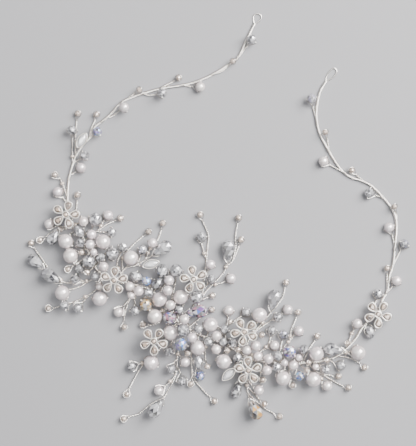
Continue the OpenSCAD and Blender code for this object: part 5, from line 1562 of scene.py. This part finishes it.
def handling_group():
    """Fine marks of handling: a roughness that changes over the surface, and a height for a bump."""
    if "Handling" in bpy.data.node_groups:
        return bpy.data.node_groups["Handling"]
    group, start, end = group_named(
        "Handling",
        (("Scale", "NodeSocketFloat", 900.0), ("Smooth", "NodeSocketFloat", 0.15),
         ("Rough", "NodeSocketFloat", 0.35)),
        (("Roughness", "NodeSocketFloat"), ("Height", "NodeSocketFloat")))
    nodes, links = group.nodes, group.links
    place = nodes.new("ShaderNodeTexCoord")
    wide = nodes.new("ShaderNodeTexNoise")
    wide.inputs["Detail"].default_value = 3
    fine = nodes.new("ShaderNodeTexNoise")
    fine.inputs["Detail"].default_value = 5
    fine.inputs["Roughness"].default_value = 0.6
    times = nodes.new("ShaderNodeMath")
    times.operation = "MULTIPLY"
    times.inputs[1].default_value = 4
    spread = nodes.new("ShaderNodeMapRange")
    spread.inputs["From Min"].default_value = 0.35
    spread.inputs["From Max"].default_value = 0.65
    links.new(place.outputs["Object"], wide.inputs["Vector"])
    links.new(place.outputs["Object"], fine.inputs["Vector"])
    links.new(start.outputs["Scale"], wide.inputs["Scale"])
    links.new(start.outputs["Scale"], times.inputs[0])
    links.new(times.outputs[0], fine.inputs["Scale"])
    links.new(wide.outputs["Fac"], spread.inputs["Value"])
    links.new(start.outputs["Smooth"], spread.inputs["To Min"])
    links.new(start.outputs["Rough"], spread.inputs["To Max"])
    links.new(spread.outputs["Result"], end.inputs["Roughness"])
    links.new(fine.outputs["Fac"], end.inputs["Height"])
    return group


def facet_group():
    """A piece's colour multiplied by its facet colours: painted reflections on cut glass, a tone of its own on a
    pearl or seed bead. The share is how strongly.
    """
    if "Facets" in bpy.data.node_groups:
        return bpy.data.node_groups["Facets"]
    group, start, end = group_named(
        "Facets", (("Colour", "NodeSocketColor", (1, 1, 1, 1)), ("Share", "NodeSocketFloat", 1.0)),
        (("Colour", "NodeSocketColor"),))
    nodes, links = group.nodes, group.links
    facet = nodes.new("ShaderNodeVertexColor")
    facet.layer_name = "facet"
    mix = nodes.new("ShaderNodeMix")
    mix.data_type = "RGBA"
    mix.blend_type = "MULTIPLY"
    links.new(start.outputs["Share"], mix.inputs["Factor"])
    links.new(start.outputs["Colour"], mix.inputs["A"])
    links.new(facet.outputs["Color"], mix.inputs["B"])
    links.new(mix.outputs["Result"], end.inputs["Colour"])
    return group


def put(nodes, tree, **values):
    """Places a node group in a material with its own values."""
    node = nodes.new("ShaderNodeGroup")
    node.node_tree = tree
    for label, value in values.items():
        node.inputs[label].default_value = value
    return node


def made_once(build):
    """Keeps a finish once it is made, under the name of its function."""
    def finish():
        """The finish, made at its first use."""
        return bpy.data.materials.get(build.__name__) or build(build.__name__)
    return finish


def handled(finish, scale, smooth, rough, bump=0):
    """Gives a finish its marks of handling: a roughness that changes, and a fine bump."""
    nodes, links, shader = inside(finish)
    marks = put(nodes, handling_group(), Scale=scale, Smooth=smooth, Rough=rough)
    links.new(marks.outputs["Roughness"], shader.inputs["Roughness"])
    if bump:
        height = nodes.new("ShaderNodeBump")
        height.inputs["Strength"].default_value = bump
        height.inputs["Distance"].default_value = 0.02 * MM
        links.new(marks.outputs["Height"], height.inputs["Height"])
        links.new(height.outputs["Normal"], shader.inputs["Normal"])


def mixed(nodes, colour_a=(1, 1, 1), colour_b=(1, 1, 1)):
    """A mix of two colours."""
    mix = nodes.new("ShaderNodeMix")
    mix.data_type = "RGBA"
    mix.inputs["A"].default_value = (*colour_a, 1)
    mix.inputs["B"].default_value = (*colour_b, 1)
    return mix


def clouded(finish, colour_a, colour_b, scale, detail=2):
    """A cloud that changes over the piece, and a mix of two colours that it can drive."""
    nodes, links, _ = inside(finish)
    place = nodes.new("ShaderNodeTexCoord")
    cloud = nodes.new("ShaderNodeTexNoise")
    cloud.inputs["Scale"].default_value = scale
    cloud.inputs["Detail"].default_value = detail
    links.new(place.outputs["Object"], cloud.inputs["Vector"])
    return cloud.outputs["Fac"], mixed(nodes, colour_a, colour_b)


def edged(finish, colour, shade_colour, blend):
    """Colours a finish with painted shade: another colour where its surface turns away from the view."""
    nodes, links, shader = inside(finish)
    rim = nodes.new("ShaderNodeLayerWeight")
    rim.inputs["Blend"].default_value = blend
    edge = mixed(nodes, colour_b=shade_colour)
    links.new(rim.outputs["Facing"], edge.inputs["Factor"])
    links.new(colour, edge.inputs["A"])
    links.new(edge.outputs["Result"], shader.inputs["Base Color"])


def metal(name, colour, smooth, rough, scale, bump):
    """Plated metal, a little cloudy, with marks of handling."""
    finish = new_finish(name, Metallic=1)
    _, links, shader = inside(finish)
    cloud, tone = clouded(finish, [c * 0.86 for c in colour], [min(1, c * 1.06) for c in colour], 260)
    links.new(cloud, tone.inputs["Factor"])
    links.new(tone.outputs["Result"], shader.inputs["Base Color"])
    handled(finish, scale, smooth, rough, bump)
    return finish


@made_once
def wire_finish(name):
    """Plated wire, bright and a little warm, with drawing marks."""
    return metal(name, vine_colours().wire, 0.1, 0.26, 1400, 0.3)


@made_once
def setting_finish(name):
    """Smooth polished plating of the flowers and cups."""
    return metal(name, vine_colours().setting, 0.08, 0.22, 700, 0.12)


@made_once
def pearl_finish(name):
    """Ivory white pearl lustre with rosy clouds under a smooth coat, and painted shade that greys it towards the
    outline.
    """
    colours = vine_colours()
    finish = new_finish(
        name, IOR=1.6, Metallic=0.35, Coat_Weight=1, Coat_Roughness=0.16, Sheen_Weight=0.12, Sheen_Roughness=0.4)
    nodes, links, _ = inside(finish)
    cloud, tone = clouded(finish, colours.pearl, colours.pearl_blush, 420, 3)
    ramp = nodes.new("ShaderNodeMapRange")
    ramp.inputs["From Min"].default_value = 0.42
    ramp.inputs["From Max"].default_value = 0.75
    own = put(nodes, facet_group(), Share=1.0)
    links.new(cloud, ramp.inputs["Value"])
    links.new(ramp.outputs["Result"], tone.inputs["Factor"])
    links.new(tone.outputs["Result"], own.inputs["Colour"])
    # Painted shade towards the pearl's outline
    edged(finish, own.outputs["Colour"], colours.pearl_edge, 0.3)
    handled(finish, 700, 0.1, 0.22, 0.08)
    return finish


def cut_glass(name, colour, transmission, metallic, share):
    """Glass with painted reflections in the tones of its facets, and painted shade at its outline. The share is
    how strongly the facets differ.
    """
    finish = new_finish(
        name, IOR=1.56, Transmission_Weight=transmission, Metallic=metallic, Coat_Weight=0.5, Coat_Roughness=0.02)
    own = put(inside(finish)[0], facet_group(), Colour=(*colour, 1), Share=share)
    # Painted shade: darker where the surface turns away from the view
    edged(finish, own.outputs["Colour"], [c * 0.2 for c in colour], 0.25)
    handled(finish, 1100, 0.02, 0.1)
    return finish


@made_once
def crystal_finish(name):
    """Clear glass whose facets differ in brightness by painted reflections."""
    return cut_glass(name, (0.96, 0.96, 0.98), 0.3, 0.3, 1.0)


@made_once
def rhinestone_finish(name):
    """Bright facets over a foil, with painted reflections in the facets."""
    return cut_glass(name, (1, 1, 1), 0, 0.3, 0.45)


@made_once
def petal_stone_finish(name):
    """Champagne facets over a foil, with painted reflections in the facets."""
    return cut_glass(name, vine_colours().petal_stone, 0, 0.6, 1.0)


@made_once
def champagne_finish(name):
    """Warm glass with a bright lining, painted shade at its outline and, on the tip crystals, painted reflections
    in the facets.
    """
    return cut_glass(name, vine_colours().champagne, 0.1, 0.4, 0.8)


@made_once
def floor_finish(name):
    """Plain and pale, with a faint cloud."""
    finish = new_finish(name, Roughness=0.8, Specular_IOR_Level=0.2)
    _, links, shader = inside(finish)
    colour = vine_colours().floor
    cloud, tone = clouded(finish, colour, [c * 1.03 for c in colour], 6)
    links.new(cloud, tone.inputs["Factor"])
    links.new(tone.outputs["Result"], shader.inputs["Base Color"])
    return finish


# Stage and panel

# The soft lights: place, power, size and colour
LIGHTS = (
    ("key", (0.5, 0.34, 0.6), 28, 0.62, (1, 0.98, 0.97)),
    ("left", (-0.8, 0.1, 0.5), 0.6, 0.4, (0.95, 0.95, 1)),
    ("front", (-0.1, -0.9, 0.6), 1.2, 0.4, (0.97, 0.98, 1)),
)
# The camera looks straight down
CAMERA_PLACE = (-4.4 * MM, -2.2 * MM, 500 * MM)
CAMERA_LENS = 100
FLOOR_SIDE = 6


class VINE_OT_stage(bpy.types.Operator):
    """Lay out the floor, the lights and the camera straight above the vine"""
    bl_idname = "hair_vine.stage"
    bl_label = "Stage"

    def execute(self, context):
        bpy.ops.object.select_all(action="DESELECT")
        bpy.ops.mesh.primitive_plane_add(size=FLOOR_SIDE, location=(0, 0, 0))
        floor = context.object
        floor.name = "floor"
        floor.data.materials.append(floor_finish())
        for name, place, power, size, colour in LIGHTS:
            bpy.ops.object.light_add(type="AREA", location=place)
            light = context.object
            light.name = f"{name}_light"
            light.rotation_euler = (-Vector(place)).to_track_quat("-Z", "Y").to_euler()
            light.data.energy = power
            light.data.size = size
            light.data.color = colour
        bpy.ops.object.light_add(type="SUN", location=(0, 0, 1), rotation=(-0.15, 0.1, 0))
        sky = context.object
        sky.name = "top_light"
        sky.data.energy = 2
        sky.data.angle = math.radians(60)
        world = bpy.data.worlds.new("Studio")
        context.scene.world = world
        world.use_nodes = True
        around = world.node_tree.nodes["Background"]
        around.inputs["Color"].default_value = (0.86, 0.9, 1, 1)
        around.inputs["Strength"].default_value = 0.16
        bpy.ops.object.camera_add(location=CAMERA_PLACE, rotation=(0, 0, 0))
        camera = context.object
        camera.name = "camera"
        camera.data.lens = CAMERA_LENS
        camera.data.sensor_width = 36
        camera.data.clip_start = 0.01
        context.scene.camera = camera
        return {"FINISHED"}


OPERATORS = (
    VINE_OT_wire, VINE_OT_pearls, VINE_OT_round_crystals, VINE_OT_long_crystals, VINE_OT_seed_beads,
    VINE_OT_flowers, VINE_OT_pointed_settings, VINE_OT_stage,
)
SETTINGS = (
    ("vine_wire", VineWireSizes), ("vine_beads", VineBeadSizes), ("vine_settings", VineSettingSizes),
    ("vine_colours", VineColours),
)


class VINE_PT_panel(bpy.types.Panel):
    """Sizes, colours and pieces of the hair vine"""
    bl_idname = "VINE_PT_panel"
    bl_label = "Hair vine"
    bl_space_type = "VIEW_3D"
    bl_region_type = "UI"
    bl_category = "Hair vine"

    def draw(self, context):
        for operator in OPERATORS:
            self.layout.operator(operator.bl_idname)
        for name, group in SETTINGS:
            box = self.layout.box()
            for field in group.__annotations__:
                box.prop(getattr(context.scene, name), field)


def register():
    for name, group in SETTINGS:
        bpy.utils.register_class(group)
        setattr(bpy.types.Scene, name, bpy.props.PointerProperty(type=group))
    for operator in OPERATORS:
        bpy.utils.register_class(operator)
    bpy.utils.register_class(VINE_PT_panel)


def unregister():
    bpy.utils.unregister_class(VINE_PT_panel)
    for operator in reversed(OPERATORS):
        bpy.utils.unregister_class(operator)
    for name, group in reversed(SETTINGS):
        delattr(bpy.types.Scene, name)
        bpy.utils.unregister_class(group)


def main():
    """Makes the whole vine and its stage."""
    register()
    bpy.ops.hair_vine.wire()
    bpy.ops.hair_vine.pearls()
    bpy.ops.hair_vine.round_crystals()
    bpy.ops.hair_vine.long_crystals()
    bpy.ops.hair_vine.seed_beads()
    bpy.ops.hair_vine.flowers()
    bpy.ops.hair_vine.pointed_settings()
    bpy.ops.hair_vine.stage()


if __name__ == "__main__":
    main()
